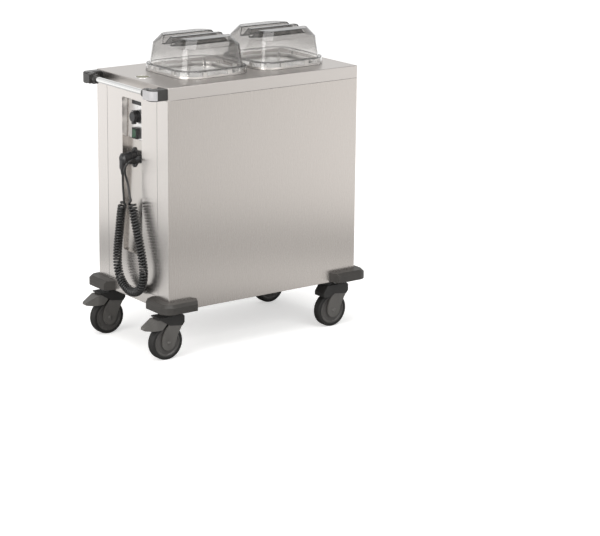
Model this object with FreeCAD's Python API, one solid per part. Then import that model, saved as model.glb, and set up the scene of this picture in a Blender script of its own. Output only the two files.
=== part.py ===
"""Heated plate dispenser cart: two plate wells under clear hoods, on four swivel castors.

Millimetres. +Z up, X along the cart with the push handle at -X, and the control
panel in the handle end. The origin is on the floor, under the middle of the cart's box.
"""
import FreeCAD, Part
import math
import os

V = FreeCAD.Vector
os.makedirs("parts", exist_ok=True)

# ---- cabinet ----
BODY_LENGTH = 805.0
BODY_WIDTH = 453.0
DECK_HEIGHT = 957.0
UNDERSIDE = 175.0
SHEET = 2.0
DECK_FLANGE = 44.0
DECK_EDGE_RADIUS = 2.5
FOLD_RADIUS = 3.0
RETURN_WIDTH = 68.0
END_SILL = 43.0
SEAM = 0.8
POST_LEG = 30.0

# ---- plate wells and what runs in them ----
FIRST_WELL = 267.0
WELL_PITCH = 330.0
WELL_HALF = 122.0
WELL_CORNER = 60.0
SHAFT_BOTTOM = 262.0
SHAFT_LEDGE = 24.0
COLLAR_WIDTH = 12.0
COLLAR_HEIGHT = 6.0
PLATFORM_CLEARANCE = 6.0
PLATFORM_CORNER = 70.0
PLATFORM_DROP = 4.0
PLATFORM_RIM = 12.0
PLATFORM_TRAVEL = 580.0
LUG_WIDTH = 16.0
SLOT_WIDTH = 12.0
EAR_WIDTH = 8.0
LEG_DROP = 150.0
SPRING_MARGIN = 25.0
SPRING_RADIUS = 8.0
SPRING_WIRE = 1.6
ROD_RADIUS = 3.0
ROD_CLEARANCE = 4.7
ROD_BEND = 7.0
GAP = 0.3

# ---- hoods ----
HOOD_MARGIN = 15.6
HOOD_SOFTER = 3.0
HOOD_TAPER = 16.0
HOOD_WALL_HEIGHT = 98.0
HOOD_HEIGHT = 128.0
HOOD_TOP_INSET = 21.0
HOOD_WALL = 3.0
SKIRT_MARGIN = 10.6
SKIRT_HEIGHT = 26.0
SKIRT_FLARE = 3.1
GRIP_RIDGE = 9.0
GRIP_FLOOR = (20.0, 32.0)
GRIP_OUTER = 52.0
GRIP_DEPTH = 25.0

# ---- push handle ----
HANDLE_REACH = 44.0
HANDLE_DROP = 22.0
TUBE_RADIUS = 10.0
TUBE_WALL = 1.5
TUBE_GRIP = 26.0
ARM_RADIUS = 19.5
BRACKET_LENGTH = 76.0
BRACKET_FOOT = 34.0
BRACKET_FLANGE = (56.0, 6.0)
BRACKET_CORNER = 22.0
BRACKET_HEIGHT = 39.0
RING_RADIUS = 15.5
RING_LENGTH = 18.0
INLAY = 1.2
INLAY_HALF = 16.0

# ---- bumpers ----
BUMPER_PROUD = 37.0
BUMPER_LEGS = (113.0, 107.0)
BUMPER_SLANT = 18.0
BUMPER_BOTTOM = 176.0
BUMPER_TOP = 210.0
BUMPER_CORNER = 39.0
BUMPER_CHAMFER = 10.0

# ---- castors ----
CASTOR_INSET_X = 44.5
CASTOR_INSET_Y = 35.5
WHEEL_RADIUS = 62.5
TYRE_WIDTH = 32.0
TYRE_INNER = 50.0
TRAIL = 38.0
PLATE_LENGTH = 84.0
PLATE_WIDTH = 66.0
PLATE_THICK = 5.0
RACE_RADIUS = 30.0
HEAD_TOP = 158.0
HEAD_HALF = 27.0
KINGPIN_RADIUS = 8.0
KINGPIN_LENGTH = 26.0
FORK_INNER = 18.5
FORK_THICK = 6.5
HUB_BOSS = 26.0
AXLE_RADIUS = 4.0
RUNNING_FIT = 0.05
SWIVEL_GAP = 0.5
PEDAL_TIP = 132.0
PEDAL_HALF = 24.0
PEDAL_TIP_HALF = 10.0
PEDAL_PIN = (-46.0, 139.0)
PEDAL_PIN_RADIUS = 2.5
BOLT_RADIUS = 4.0
BOLT_SPACING = (66.0, 50.0)

# ---- recess and controls in the handle end ----
RECESS_WIDTH = 123.0
RECESS_BOTTOM = 340.0
RECESS_TOP = 885.0
RECESS_DEPTH_TOP = 27.0
RECESS_DEPTH_BOTTOM = 10.0
RECESS_CORNER = 8.0
CONTROL_PLATE = (112.0, 140.0, 1.5)
CONTROL_PLATE_Z = 812.0
DISPLAY = (70.0, 13.0, 1.2)
DISPLAY_Z = 868.0
KNOB_Z = 822.0
KNOB_RADIUS = 22.0
SPINDLE_RADIUS = 3.0
SPINDLE_LENGTH = 14.0
SWITCH_Z = 764.0
SWITCH_FRAME = (28.0, 38.0, 13.0)
SWITCH_HOLE = (20.0, 30.0)
ROCKER_TILT = 7.0
SOCKET_Y = 14.5
SOCKET_Z = 676.0
SOCKET_FLANGE = 26.5
SOCKET_EAR = 10.0
SOCKET_EAR_OFFSET = 25.5
SOCKET_RADIUS = 23.0
SOCKET_BORE = 20.0
GLAND_Y = -29.0
GLAND_Z = 678.0
GLAND_RADIUS = 15.5
PLUG_X = -36.0
PLUG_FACE_X = -3.0
PLUG_RADIUS = 20.0

# ---- supply cord ----
CORD_RADIUS = 4.0
CORD_X = -30.0
CURL_RADIUS = 12.5
CURL_PITCH = 10.4
CURL_SIDES = 6
CURL_LEAD_IN = 24.0
STEPS_PER_CURL = 3
# (x out from the handle end, y from the middle, z)
LEAD_ROUTE = [
    (-6.0, -29.0, 678.0),
    (-22.0, -29.0, 678.0),
    (-39.0, -27.0, 668.0),
    (-44.0, -20.0, 648.0),
    (-38.5, -15.0, 627.0),
    (-30.0, -16.0, 603.0),
    (-30.0, -31.0, 552.0),
]
COIL_ROUTE = [
    (-30.0, -31.0, 552.0),
    (-30.0, -35.1, 538.0),
    (-30.0, -51.0, 512.0),
    (-30.0, -56.5, 487.0),
    (-30.0, -79.0, 428.0),
    (-30.0, -104.0, 355.0),
    (-30.0, -119.0, 290.0),
    (-30.0, -92.0, 226.0),
    (-30.0, -30.0, 206.0),
    (-30.0, 30.0, 232.0),
    (-30.0, 56.0, 285.0),
    (-30.0, 54.0, 348.0),
    (-30.0, 39.5, 418.0),
    (-30.0, 25.5, 499.0),
    (-30.0, 7.3, 527.0),
    (-30.0, 9.0, 541.0),
]
TAIL_ROUTE = [
    (-30.0, 9.0, 541.0),
    (-30.0, 14.5, 586.0),
    (-30.0, 14.5, 621.0),
]

# ---- places that follow ----
PEDAL_REACH = PEDAL_TIP - CASTOR_INSET_X
X0 = -(BODY_LENGTH + BUMPER_PROUD - PEDAL_REACH) / 2
X1 = X0 + BODY_LENGTH
YH = BODY_WIDTH / 2
WELLS = [X0 + FIRST_WELL, X0 + FIRST_WELL + WELL_PITCH]
FLANGE_BOTTOM = DECK_HEIGHT - DECK_FLANGE
DECK_UNDER = DECK_HEIGHT - SHEET
PANEL_TOP = FLANGE_BOTTOM - SEAM
FLOOR_TOP = UNDERSIDE + SHEET
ROD_OFFSET = WELL_HALF - WELL_CORNER + (WELL_CORNER - ROD_RADIUS - ROD_CLEARANCE) * math.sqrt(0.5)
SPRING_OFFSET = WELL_HALF + SPRING_MARGIN
HOOD_HALF = WELL_HALF + HOOD_MARGIN
HOOD_CORNER = WELL_CORNER + HOOD_SOFTER
SKIRT_HALF = WELL_HALF + COLLAR_WIDTH + SKIRT_MARGIN
RECESS_LEAN = (RECESS_DEPTH_TOP - RECESS_DEPTH_BOTTOM) / (RECESS_TOP - RECESS_BOTTOM)
LEAN_ANGLE = math.degrees(math.atan(RECESS_LEAN))


def save(name, *solids):
    shape = solids[0] if len(solids) == 1 else Part.makeCompound(list(solids))
    shape.exportStep("parts/" + name + ".step")


def box(x0, x1, y0, y1, z0, z1):
    return Part.makeBox(x1 - x0, y1 - y0, z1 - z0, V(x0, y0, z0))


def cylinder(radius, start, end):
    way = end.sub(start)
    return Part.makeCylinder(radius, way.Length, start, way)


def polygon(points):
    return Part.makePolygon(points + [points[0]])


def side_prism(points, y0, y1):
    """Prism across the cart from an outline in X and Z."""
    wire = polygon([V(x, y0, z) for x, z in points])
    return Part.Face(wire).extrude(V(0, y1 - y0, 0))


def cross_prism(points, x0, x1):
    """Prism along the cart from an outline in Y and Z."""
    wire = polygon([V(x0, y, z) for y, z in points])
    return Part.Face(wire).extrude(V(x1 - x0, 0, 0))


def rounded_square(cx, half, corner, z):
    """Wire of a square with round corners, centred on the well at cx."""
    edges = []
    flat = half - corner
    reach = corner * math.sqrt(0.5)
    for k in range(4):
        turn = FreeCAD.Rotation(V(0, 0, 1), 90 * k)
        place = FreeCAD.Placement(V(cx, 0, z), turn)
        a = place.multVec(V(half, -flat, 0))
        b = place.multVec(V(half, flat, 0))
        m = place.multVec(V(flat + reach, flat + reach, 0))
        c = place.multVec(V(flat, half, 0))
        edges.append(Part.LineSegment(a, b).toShape())
        edges.append(Part.Arc(b, m, c).toShape())
    return Part.Wire(edges)


def square_prism(cx, half, corner, z0, z1):
    face = Part.Face(rounded_square(cx, half, corner, z0))
    return face.extrude(V(0, 0, z1 - z0))


def square_loft(cx, low, high):
    """Solid between two rounded squares, each given as (half, corner, z)."""
    return Part.makeLoft([rounded_square(cx, *low), rounded_square(cx, *high)], True, True)


def upright_edges(shape, test):
    found = []
    for edge in shape.Edges:
        a = edge.Vertexes[0].Point
        b = edge.Vertexes[-1].Point
        straight_up = abs(a.x - b.x) < 1e-6 and abs(a.y - b.y) < 1e-6 and abs(a.z - b.z) > 1
        if straight_up and test(a.x, a.y):
            found.append(edge)
    return found


def edges_at_height(shape, z, test=lambda x, y: True):
    found = []
    for edge in shape.Edges:
        box_of = edge.BoundBox
        flat = abs(box_of.ZMin - z) < 1e-4 and abs(box_of.ZMax - z) < 1e-4
        middle = box_of.Center
        if flat and test(middle.x, middle.y):
            found.append(edge)
    return found


def recess_floor(z):
    """How deep the recess floor lies behind the handle end's face at height z."""
    return RECESS_DEPTH_BOTTOM + (z - RECESS_BOTTOM) * RECESS_LEAN


def on_floor(y, z):
    """Placement on the recess floor: local Z points out of the recess, local X across."""
    turn = FreeCAD.Rotation(V(0, 0, 1), V(-math.cos(math.radians(LEAN_ANGLE)), 0,
                                          math.sin(math.radians(LEAN_ANGLE))))
    across = turn.multVec(V(1, 0, 0))
    twist = math.degrees(math.atan2(across.dot(V(0, 0, 1)), across.dot(V(0, -1, 0))))
    turn = turn.multiply(FreeCAD.Rotation(V(0, 0, 1), twist))
    return FreeCAD.Placement(V(X0 + recess_floor(z), y, z), turn)


def placed(shape, placement):
    done = shape.copy()
    done.Placement = placement
    return done


# ---------------------------------------------------------------- cabinet

def top_deck():
    deck = box(X0, X1, -YH, YH, FLANGE_BOTTOM, DECK_HEIGHT)
    corners = upright_edges(deck, lambda x, y: True)
    deck = deck.makeFillet(FOLD_RADIUS, corners)
    deck = deck.makeFillet(DECK_EDGE_RADIUS, edges_at_height(deck, DECK_HEIGHT))
    deck = deck.cut(box(X0 + SHEET, X1 - SHEET, -YH + SHEET, YH - SHEET,
                        FLANGE_BOTTOM - 1, DECK_UNDER))
    for cx in WELLS:
        deck = deck.cut(square_prism(cx, WELL_HALF, WELL_CORNER, DECK_UNDER - 1, DECK_HEIGHT + 1))
    save("top_deck", deck)


def side_panel(name, side):
    """Folded sheet whose ends wrap round the corners of the cabinet."""
    y_face = side * YH
    y_return = side * (YH - RETURN_WIDTH)
    y_skin = side * (YH - SHEET)
    panel = box(X0, X1, min(y_face, y_return), max(y_face, y_return), UNDERSIDE, PANEL_TOP)
    corners = upright_edges(panel, lambda x, y: abs(y - y_face) < 1)
    panel = panel.makeFillet(FOLD_RADIUS, corners)
    inner = box(X0 + SHEET, X1 - SHEET, min(y_skin, y_return - side), max(y_skin, y_return - side),
                UNDERSIDE - 1, PANEL_TOP + 1)
    save(name, panel.cut(inner))


def far_end_panel():
    y_edge = YH - RETURN_WIDTH - SEAM
    save("far_end_panel", box(X1 - SHEET, X1, -y_edge, y_edge, UNDERSIDE + END_SILL, PANEL_TOP))


def recess_block(grow):
    """The recess as a solid, in front of its leaning floor, grown by the sheet where asked."""
    half = RECESS_WIDTH / 2 + grow
    low = RECESS_BOTTOM - grow
    high = RECESS_TOP + grow
    block = box(X0, X0 + RECESS_DEPTH_TOP + SHEET + 1, -half, half, low, high)
    edges = []
    for edge in block.Edges:
        along = edge.Vertexes[-1].Point.sub(edge.Vertexes[0].Point)
        if abs(along.x) > 1:
            edges.append(edge)
    block = block.makeFillet(RECESS_CORNER + grow, edges)
    front = [(X0 - 1, low - 1), (X0 + recess_floor(low - 1) + grow, low - 1),
             (X0 + recess_floor(high + 1) + grow, high + 1), (X0 - 1, high + 1)]
    return block.common(side_prism(front, -half - 1, half + 1))


def control_end_panel():
    y_edge = YH - RETURN_WIDTH - SEAM
    panel = box(X0, X0 + SHEET, -y_edge, y_edge, UNDERSIDE + END_SILL, PANEL_TOP)
    panel = panel.fuse(recess_block(SHEET)).cut(recess_block(0.0).fuse(
        box(X0 - 1, X0, -RECESS_WIDTH, RECESS_WIDTH, RECESS_BOTTOM, RECESS_TOP)))
    for y, z, radius in [(0, KNOB_Z, SPINDLE_RADIUS + 1), (SOCKET_Y, SOCKET_Z, SOCKET_BORE + 1),
                         (GLAND_Y, GLAND_Z, 8.0)]:
        panel = panel.cut(placed(Part.makeCylinder(radius, 40, V(0, 0, -20)), on_floor(y, z)))
    slot = Part.makeBox(SWITCH_HOLE[0], SWITCH_HOLE[1], 40,
                        V(-SWITCH_HOLE[0] / 2, -SWITCH_HOLE[1] / 2, -20))
    panel = panel.cut(placed(slot, on_floor(0, SWITCH_Z)))
    save("control_end_panel", panel.removeSplitter())


def base_frame():
    """Welded tray with an upstand at each end, and four corner posts up to the deck."""
    tray = box(X0 + SHEET, X1 - SHEET, -YH + SHEET, YH - SHEET, UNDERSIDE, FLOOR_TOP)
    y_edge = YH - RETURN_WIDTH - SEAM
    sill_top = UNDERSIDE + END_SILL - SEAM
    for x_end in (X0, X1 - SHEET):
        tray = tray.fuse(box(x_end, x_end + SHEET, -y_edge, y_edge, UNDERSIDE, sill_top))
    for sx in (-1, 1):
        for sy in (-1, 1):
            xa = X0 + SHEET if sx < 0 else X1 - SHEET
            ya = sy * (YH - SHEET)
            post = box(min(xa, xa - sx * POST_LEG), max(xa, xa - sx * POST_LEG),
                       min(ya, ya - sy * POST_LEG), max(ya, ya - sy * POST_LEG),
                       FLOOR_TOP, DECK_UNDER)
            xb = xa - sx * SHEET
            yb = ya - sy * SHEET
            hollow = box(min(xb, xb - sx * POST_LEG), max(xb, xb - sx * POST_LEG),
                         min(yb, yb - sy * POST_LEG), max(yb, yb - sy * POST_LEG),
                         FLOOR_TOP - 1, DECK_UNDER + 1)
            tray = tray.fuse(post.cut(hollow))
    for x, y in castor_places():
        for bx, by in bolt_places(x, y):
            tray = tray.cut(cylinder(BOLT_RADIUS + 0.2, V(bx, by, UNDERSIDE - 1),
                                     V(bx, by, FLOOR_TOP + 1)))
    save("base_frame", tray.removeSplitter())


def bumper(name, sx, sy):
    """L-shaped buffer that hugs one lower corner, with slanted ends and its top edge cut back."""
    x_corner = X0 if sx < 0 else X1
    y_corner = sy * YH
    proud = BUMPER_PROUD
    long_leg, short_leg = BUMPER_LEGS
    outline = [(proud, proud), (BUMPER_SLANT - long_leg, proud), (-long_leg, 0), (0, 0),
               (0, -short_leg), (proud, BUMPER_SLANT - short_leg)]
    ring = polygon([V(x_corner + sx * a, y_corner + sy * b, BUMPER_BOTTOM) for a, b in outline])
    pad = Part.Face(ring).extrude(V(0, 0, BUMPER_TOP - BUMPER_BOTTOM))
    xo = x_corner + sx * proud
    yo = y_corner + sy * proud
    pad = pad.makeFillet(BUMPER_CORNER, upright_edges(pad, lambda x, y: abs(x - xo) + abs(y - yo) < 1))
    rim = edges_at_height(pad, BUMPER_TOP,
                          lambda x, y: min(abs(x - xo), abs(y - yo)) < BUMPER_CORNER / 3)
    save(name, pad.makeChamfer(BUMPER_CHAMFER, rim))


# ---------------------------------------------------------------- push handle

HANDLE_X = X0 - HANDLE_REACH
HANDLE_Z = DECK_HEIGHT - HANDLE_DROP


def handle_bracket(name, side):
    """Corner casting: foot and flange on the cabinet's end, round arm, ring that holds the tube."""
    y_out = side * YH
    y_foot = side * (YH - BRACKET_FOOT)
    y_arm = side * (YH - BRACKET_LENGTH)
    y_ring = y_arm + side * RING_LENGTH
    half = BRACKET_HEIGHT / 2
    x_out = HANDLE_X - ARM_RADIUS
    foot = box(x_out, X0, min(y_out, y_foot), max(y_out, y_foot), HANDLE_Z - half, HANDLE_Z + half)
    foot = foot.makeFillet(BRACKET_CORNER, upright_edges(
        foot, lambda x, y: abs(x - x_out) < 1 and abs(y - y_out) < 1))
    rims = edges_at_height(foot, HANDLE_Z + half) + edges_at_height(foot, HANDLE_Z - half)
    rims = [e for e in rims if abs(e.BoundBox.Center.x - X0) > 1]
    foot = foot.makeFillet(3.0, rims)
    y_bend = side * (YH - BRACKET_CORNER)
    arm = cylinder(ARM_RADIUS, V(HANDLE_X, y_bend, HANDLE_Z), V(HANDLE_X, y_ring, HANDLE_Z))
    ring = cylinder(RING_RADIUS, V(HANDLE_X, y_ring + side, HANDLE_Z), V(HANDLE_X, y_arm, HANDLE_Z))
    face = box(x_out, HANDLE_X, min(y_bend, y_ring), max(y_bend, y_ring),
               HANDLE_Z - ARM_RADIUS + 3, HANDLE_Z + ARM_RADIUS - 3)
    wide, thick = BRACKET_FLANGE
    y_flange = side * (YH - wide)
    y_inside = side * (YH - 10)
    flange = box(X0 - thick, X0, min(y_inside, y_flange), max(y_inside, y_flange),
                 HANDLE_Z - half + 1, HANDLE_Z + half - 1)
    flange = flange.makeFillet(5.0, [e for e in flange.Edges
                                     if abs(e.BoundBox.Center.y - y_flange) < 1e-6
                                     and e.BoundBox.XLength > 1])
    bore = cylinder(TUBE_RADIUS, V(HANDLE_X, y_arm + side * TUBE_GRIP, HANDLE_Z),
                    V(HANDLE_X, y_arm - side, HANDLE_Z))
    bracket = foot.fuse(flange).fuse(arm).fuse(ring).fuse(face)
    save(name, bracket.cut(bore).removeSplitter())


def push_handle_tube():
    y_end = YH - BRACKET_LENGTH + TUBE_GRIP
    tube = cylinder(TUBE_RADIUS, V(HANDLE_X, -y_end, HANDLE_Z), V(HANDLE_X, y_end, HANDLE_Z))
    hollow = cylinder(TUBE_RADIUS - TUBE_WALL, V(HANDLE_X, -y_end - 1, HANDLE_Z),
                      V(HANDLE_X, y_end + 1, HANDLE_Z))
    save("push_handle_tube", tube.cut(hollow))


def handle_inlays():
    """Pale trim bands that wrap the outer corners of the two brackets."""
    bands = []
    x_out = HANDLE_X - ARM_RADIUS
    z = HANDLE_Z - INLAY_HALF
    slope = math.sqrt(0.5)
    for side in (-1, 1):
        cx = x_out + BRACKET_CORNER
        cy = side * (YH - BRACKET_CORNER)
        y_end = side * (YH - BRACKET_LENGTH + RING_LENGTH + 2)

        def rounded(radius):
            start = V(cx, cy + side * radius, z)
            middle = V(cx - radius * slope, cy + side * radius * slope, z)
            return start, middle, V(cx - radius, cy, z)

        a, m, b = rounded(BRACKET_CORNER)
        c, n, d = rounded(BRACKET_CORNER + INLAY)
        edges = [Part.Arc(a, m, b), Part.LineSegment(b, V(b.x, y_end, z)),
                 Part.LineSegment(V(b.x, y_end, z), V(d.x, y_end, z)),
                 Part.LineSegment(V(d.x, y_end, z), d), Part.Arc(d, n, c), Part.LineSegment(c, a)]
        face = Part.Face(Part.Wire([e.toShape() for e in edges]))
        bands.append(face.extrude(V(0, 0, 2 * INLAY_HALF)))
    save("handle_inlays", *bands)


# ---------------------------------------------------------------- plate wells

def well_shaft(name, cx):
    """Square tube hung from the deck, slotted for the platform's ears."""
    half = WELL_HALF + SHEET
    shaft = square_prism(cx, half, WELL_CORNER + SHEET, SHAFT_BOTTOM, DECK_UNDER)
    flange = box(cx - half - 10, cx + half + 10, -SPRING_OFFSET - 10, SPRING_OFFSET + 10,
                 DECK_UNDER - SHEET, DECK_UNDER)
    shaft = shaft.fuse(flange)
    shaft = shaft.cut(square_prism(cx, WELL_HALF, WELL_CORNER, SHAFT_BOTTOM + SHEET, DECK_UNDER + 1))
    opening = WELL_HALF - SHAFT_LEDGE
    shaft = shaft.cut(square_prism(cx, opening, WELL_CORNER - SHAFT_LEDGE,
                                   SHAFT_BOTTOM - 1, SHAFT_BOTTOM + SHEET + 1))
    slot_top = DECK_UNDER - SHEET
    shaft = shaft.cut(box(cx - SLOT_WIDTH / 2, cx + SLOT_WIDTH / 2, -half - 1, half + 1,
                          SHAFT_BOTTOM + 20, slot_top))
    save(name, shaft.removeSplitter())


def well_collar(name, cx):
    """Ring on the deck round the well, with lugs that centre the hood."""
    top = DECK_HEIGHT + COLLAR_HEIGHT
    ring = square_prism(cx, WELL_HALF + COLLAR_WIDTH, WELL_CORNER + COLLAR_WIDTH, DECK_HEIGHT, top)
    middle = WELL_HALF + COLLAR_WIDTH / 2
    lug_top = DECK_HEIGHT + SKIRT_HEIGHT - HOOD_WALL - 3
    for k in range(4):
        for offset in (-52, 52):
            lug = box(middle - 4, middle + 4, offset - LUG_WIDTH / 2, offset + LUG_WIDTH / 2,
                      DECK_HEIGHT, lug_top)
            lug.rotate(V(0, 0, 0), V(0, 0, 1), 90 * k)
            lug.translate(V(cx, 0, 0))
            ring = ring.fuse(lug)
    ring = ring.cut(square_prism(cx, WELL_HALF, WELL_CORNER, DECK_HEIGHT - 1, top + 1))
    save(name, ring.removeSplitter())


def rod_end_offset():
    """How far along each axis the bent end of a rod stands from its upright."""
    return 2 * ROD_BEND * math.sqrt(0.5)


def guide_rods(name, cx):
    """Four upright rods whose tops bend outward and down onto the collar."""
    rods = []
    foot = SHAFT_BOTTOM + SHEET
    bend = DECK_HEIGHT + COLLAR_HEIGHT + 3
    top = bend + ROD_BEND
    for sx in (-1, 1):
        for sy in (-1, 1):
            x = cx + sx * ROD_OFFSET
            y = sy * ROD_OFFSET
            away = rod_end_offset()
            a = V(x, y, foot)
            b = V(x, y, bend)
            m = V(x + sx * away / 2, y + sy * away / 2, top)
            c = V(x + sx * away, y + sy * away, bend)
            d = V(c.x, c.y, DECK_HEIGHT + COLLAR_HEIGHT)
            path = Part.Wire([Part.LineSegment(a, b).toShape(), Part.Arc(b, m, c).toShape(),
                              Part.LineSegment(c, d).toShape()])
            ring = Part.Wire(Part.Circle(a, V(0, 0, 1), ROD_RADIUS).toShape())
            rods.append(path.makePipeShell([ring], True, False))
    save(name, *rods)


def plate_platform(name, cx):
    """Pressed tray with a turned-down rim, ears through the slots and legs outside the shaft."""
    half = WELL_HALF - PLATFORM_CLEARANCE
    top = DECK_HEIGHT - PLATFORM_DROP
    tray = square_prism(cx, half, PLATFORM_CORNER, top - PLATFORM_RIM, top)
    rim = edges_at_height(tray, top)
    tray = tray.makeFillet(3.0, rim)
    tray = tray.cut(square_prism(cx, half - SHEET, PLATFORM_CORNER - SHEET,
                                 top - PLATFORM_RIM - 1, top - SHEET))
    ear = EAR_WIDTH / 2
    leg_in = WELL_HALF + SHEET + PLATFORM_CLEARANCE
    ear_top = top - PLATFORM_RIM / 2
    for side in (-1, 1):
        y_in = side * (half - 1)
        y_out = side * (leg_in + SHEET)
        tray = tray.fuse(box(cx - ear, cx + ear, min(y_in, y_out), max(y_in, y_out),
                             top - PLATFORM_RIM, ear_top))
        y_leg = side * leg_in
        tray = tray.fuse(box(cx - ear, cx + ear, min(y_leg, y_out), max(y_leg, y_out),
                             top - LEG_DROP, ear_top))
        y_foot = side * (SPRING_OFFSET + SPRING_RADIUS)
        tray = tray.fuse(box(cx - ear, cx + ear, min(y_leg, y_foot), max(y_leg, y_foot),
                             top - LEG_DROP, top - LEG_DROP + SHEET))
    save(name, tray.removeSplitter())


def lift_springs(name, cx):
    """The two extension springs of a well, as close-wound sleeves with straight end hooks."""
    springs = []
    top = DECK_UNDER - SHEET
    foot = DECK_HEIGHT - PLATFORM_DROP - LEG_DROP + SHEET + GAP
    hook = 12.0
    for side in (-1, 1):
        y = side * SPRING_OFFSET
        sleeve = cylinder(SPRING_RADIUS, V(cx, y, foot + hook), V(cx, y, top - hook))
        sleeve = sleeve.cut(cylinder(SPRING_RADIUS - SPRING_WIRE, V(cx, y, foot + hook + SPRING_WIRE),
                                     V(cx, y, top - hook - SPRING_WIRE)))
        stem = cylinder(SPRING_WIRE, V(cx, y, foot), V(cx, y, foot + hook))
        stem_top = cylinder(SPRING_WIRE, V(cx, y, top - hook), V(cx, y, top))
        springs.append(sleeve.fuse(stem).fuse(stem_top))
    save(name, *springs)


def fan_heater():
    """Heater between the shafts: a vented casing on the tray, with a bent tube under each well."""
    middle = (WELLS[0] + WELLS[1]) / 2
    half_x = 34.0
    half_y = 95.0
    top = FLOOR_TOP + 150.0
    casing = box(middle - half_x, middle + half_x, -half_y, half_y, FLOOR_TOP, top)
    casing = casing.cut(box(middle - half_x + SHEET, middle + half_x - SHEET,
                            -half_y + SHEET, half_y - SHEET, FLOOR_TOP - 1, top - SHEET))
    z_element = FLOOR_TOP + 40.0
    for k in range(5):
        y = (k - 2) * 34.0
        casing = casing.cut(box(middle - half_x - 1, middle + half_x + 1, y - 5, y + 5,
                                z_element + 30, z_element + 90))
    elements = []
    radius = 4.0
    for side in (-1, 1):
        x_in = middle + side * half_x
        reach = 150.0
        a = V(x_in, -30, z_element)
        b = V(x_in + side * reach, -30, z_element)
        m = V(x_in + side * (reach + 30), 0, z_element)
        c = V(x_in + side * reach, 30, z_element)
        d = V(x_in, 30, z_element)
        path = Part.Wire([Part.LineSegment(a, b).toShape(), Part.Arc(b, m, c).toShape(),
                          Part.LineSegment(c, d).toShape()])
        ring = Part.Wire(Part.Circle(a, V(1, 0, 0), radius).toShape())
        elements.append(path.makePipeShell([ring], True, False))
    save("fan_heater", casing, *elements)


# ---------------------------------------------------------------- hoods

def hood_form(cx, inset):
    """Outer form of a hood, or its inner form when inset by the wall."""
    seat = DECK_HEIGHT + GAP
    wall_top = DECK_HEIGHT + HOOD_WALL_HEIGHT
    top = DECK_HEIGHT + HOOD_HEIGHT - inset
    skirt_top = DECK_HEIGHT + SKIRT_HEIGHT - inset
    skirt_corner = HOOD_CORNER + SKIRT_HALF - HOOD_HALF
    low = seat - (1 if inset else 0)
    half = HOOD_HALF - inset
    corner = HOOD_CORNER - inset
    skirt = square_loft(cx, (SKIRT_HALF + SKIRT_FLARE - inset, skirt_corner + SKIRT_FLARE - inset, low),
                        (SKIRT_HALF - inset, skirt_corner - inset, skirt_top))
    wall = square_loft(cx, (half, corner, low),
                       (half - HOOD_TAPER, corner - HOOD_TAPER, wall_top))
    crown = square_loft(cx, (half - HOOD_TAPER, corner - HOOD_TAPER, wall_top),
                        (half - HOOD_TAPER - HOOD_TOP_INSET, corner - HOOD_TAPER, top))
    form = skirt.fuse(wall).fuse(crown)
    above = DECK_HEIGHT + HOOD_HEIGHT + 1
    floor = DECK_HEIGHT + HOOD_HEIGHT - GRIP_DEPTH - inset
    for side in (-1, 1):
        groove = [(side * (GRIP_RIDGE - inset), above), (side * (GRIP_FLOOR[0] - inset), floor),
                  (side * (GRIP_FLOOR[1] + inset), floor), (side * (GRIP_OUTER + inset), above)]
        form = form.cut(cross_prism(groove, cx - HOOD_HALF, cx + HOOD_HALF))
    return form


def hood(name, cx):
    """Clear cover: flared skirt, tapering wall, crown with two finger grooves and a ridge."""
    save(name, hood_form(cx, 0.0).cut(hood_form(cx, HOOD_WALL)))


# ---------------------------------------------------------------- castors

def castor_places():
    near = X0 + CASTOR_INSET_X
    far = X1 - CASTOR_INSET_X
    y = YH - CASTOR_INSET_Y
    return [(near, -y), (near, y), (far, -y), (far, y)]


def bolt_places(x, y):
    return [(x + sx * BOLT_SPACING[0] / 2, y + sy * BOLT_SPACING[1] / 2)
            for sx in (-1, 1) for sy in (-1, 1)]


def castor_mount(name, x, y):
    """Top plate, bearing race and the kingpin that the fork turns on."""
    low = UNDERSIDE - PLATE_THICK
    plate = box(x - PLATE_LENGTH / 2, x + PLATE_LENGTH / 2, y - PLATE_WIDTH / 2, y + PLATE_WIDTH / 2,
                low, UNDERSIDE)
    plate = plate.makeFillet(6.0, upright_edges(plate, lambda a, b: True))
    for bx, by in bolt_places(x, y):
        plate = plate.cut(cylinder(BOLT_RADIUS + 0.2, V(bx, by, low - 1), V(bx, by, UNDERSIDE + 1)))
    race_low = HEAD_TOP + SWIVEL_GAP
    race = Part.makeCone(RACE_RADIUS - 6, RACE_RADIUS, low - race_low, V(x, y, race_low))
    pin = cylinder(KINGPIN_RADIUS, V(x, y, HEAD_TOP - KINGPIN_LENGTH), V(x, y, race_low))
    save(name, plate.fuse(race).fuse(pin).removeSplitter())


def head_outline(braked):
    """Side view of the castor's head, measured from the swivel axis."""
    front = [(20.0, HEAD_TOP), (25.5, HEAD_TOP - 6), (25.5, 130.0), (17.0, 119.0), (-34.5, 126.0)]
    if braked:
        return front + [(-78.5, 154.0), (-78.5, HEAD_TOP)]
    return front + [(-62.0, 112.0), (-86.0, 118.0), (-86.0, 132.0), (-68.0, HEAD_TOP)]


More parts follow.
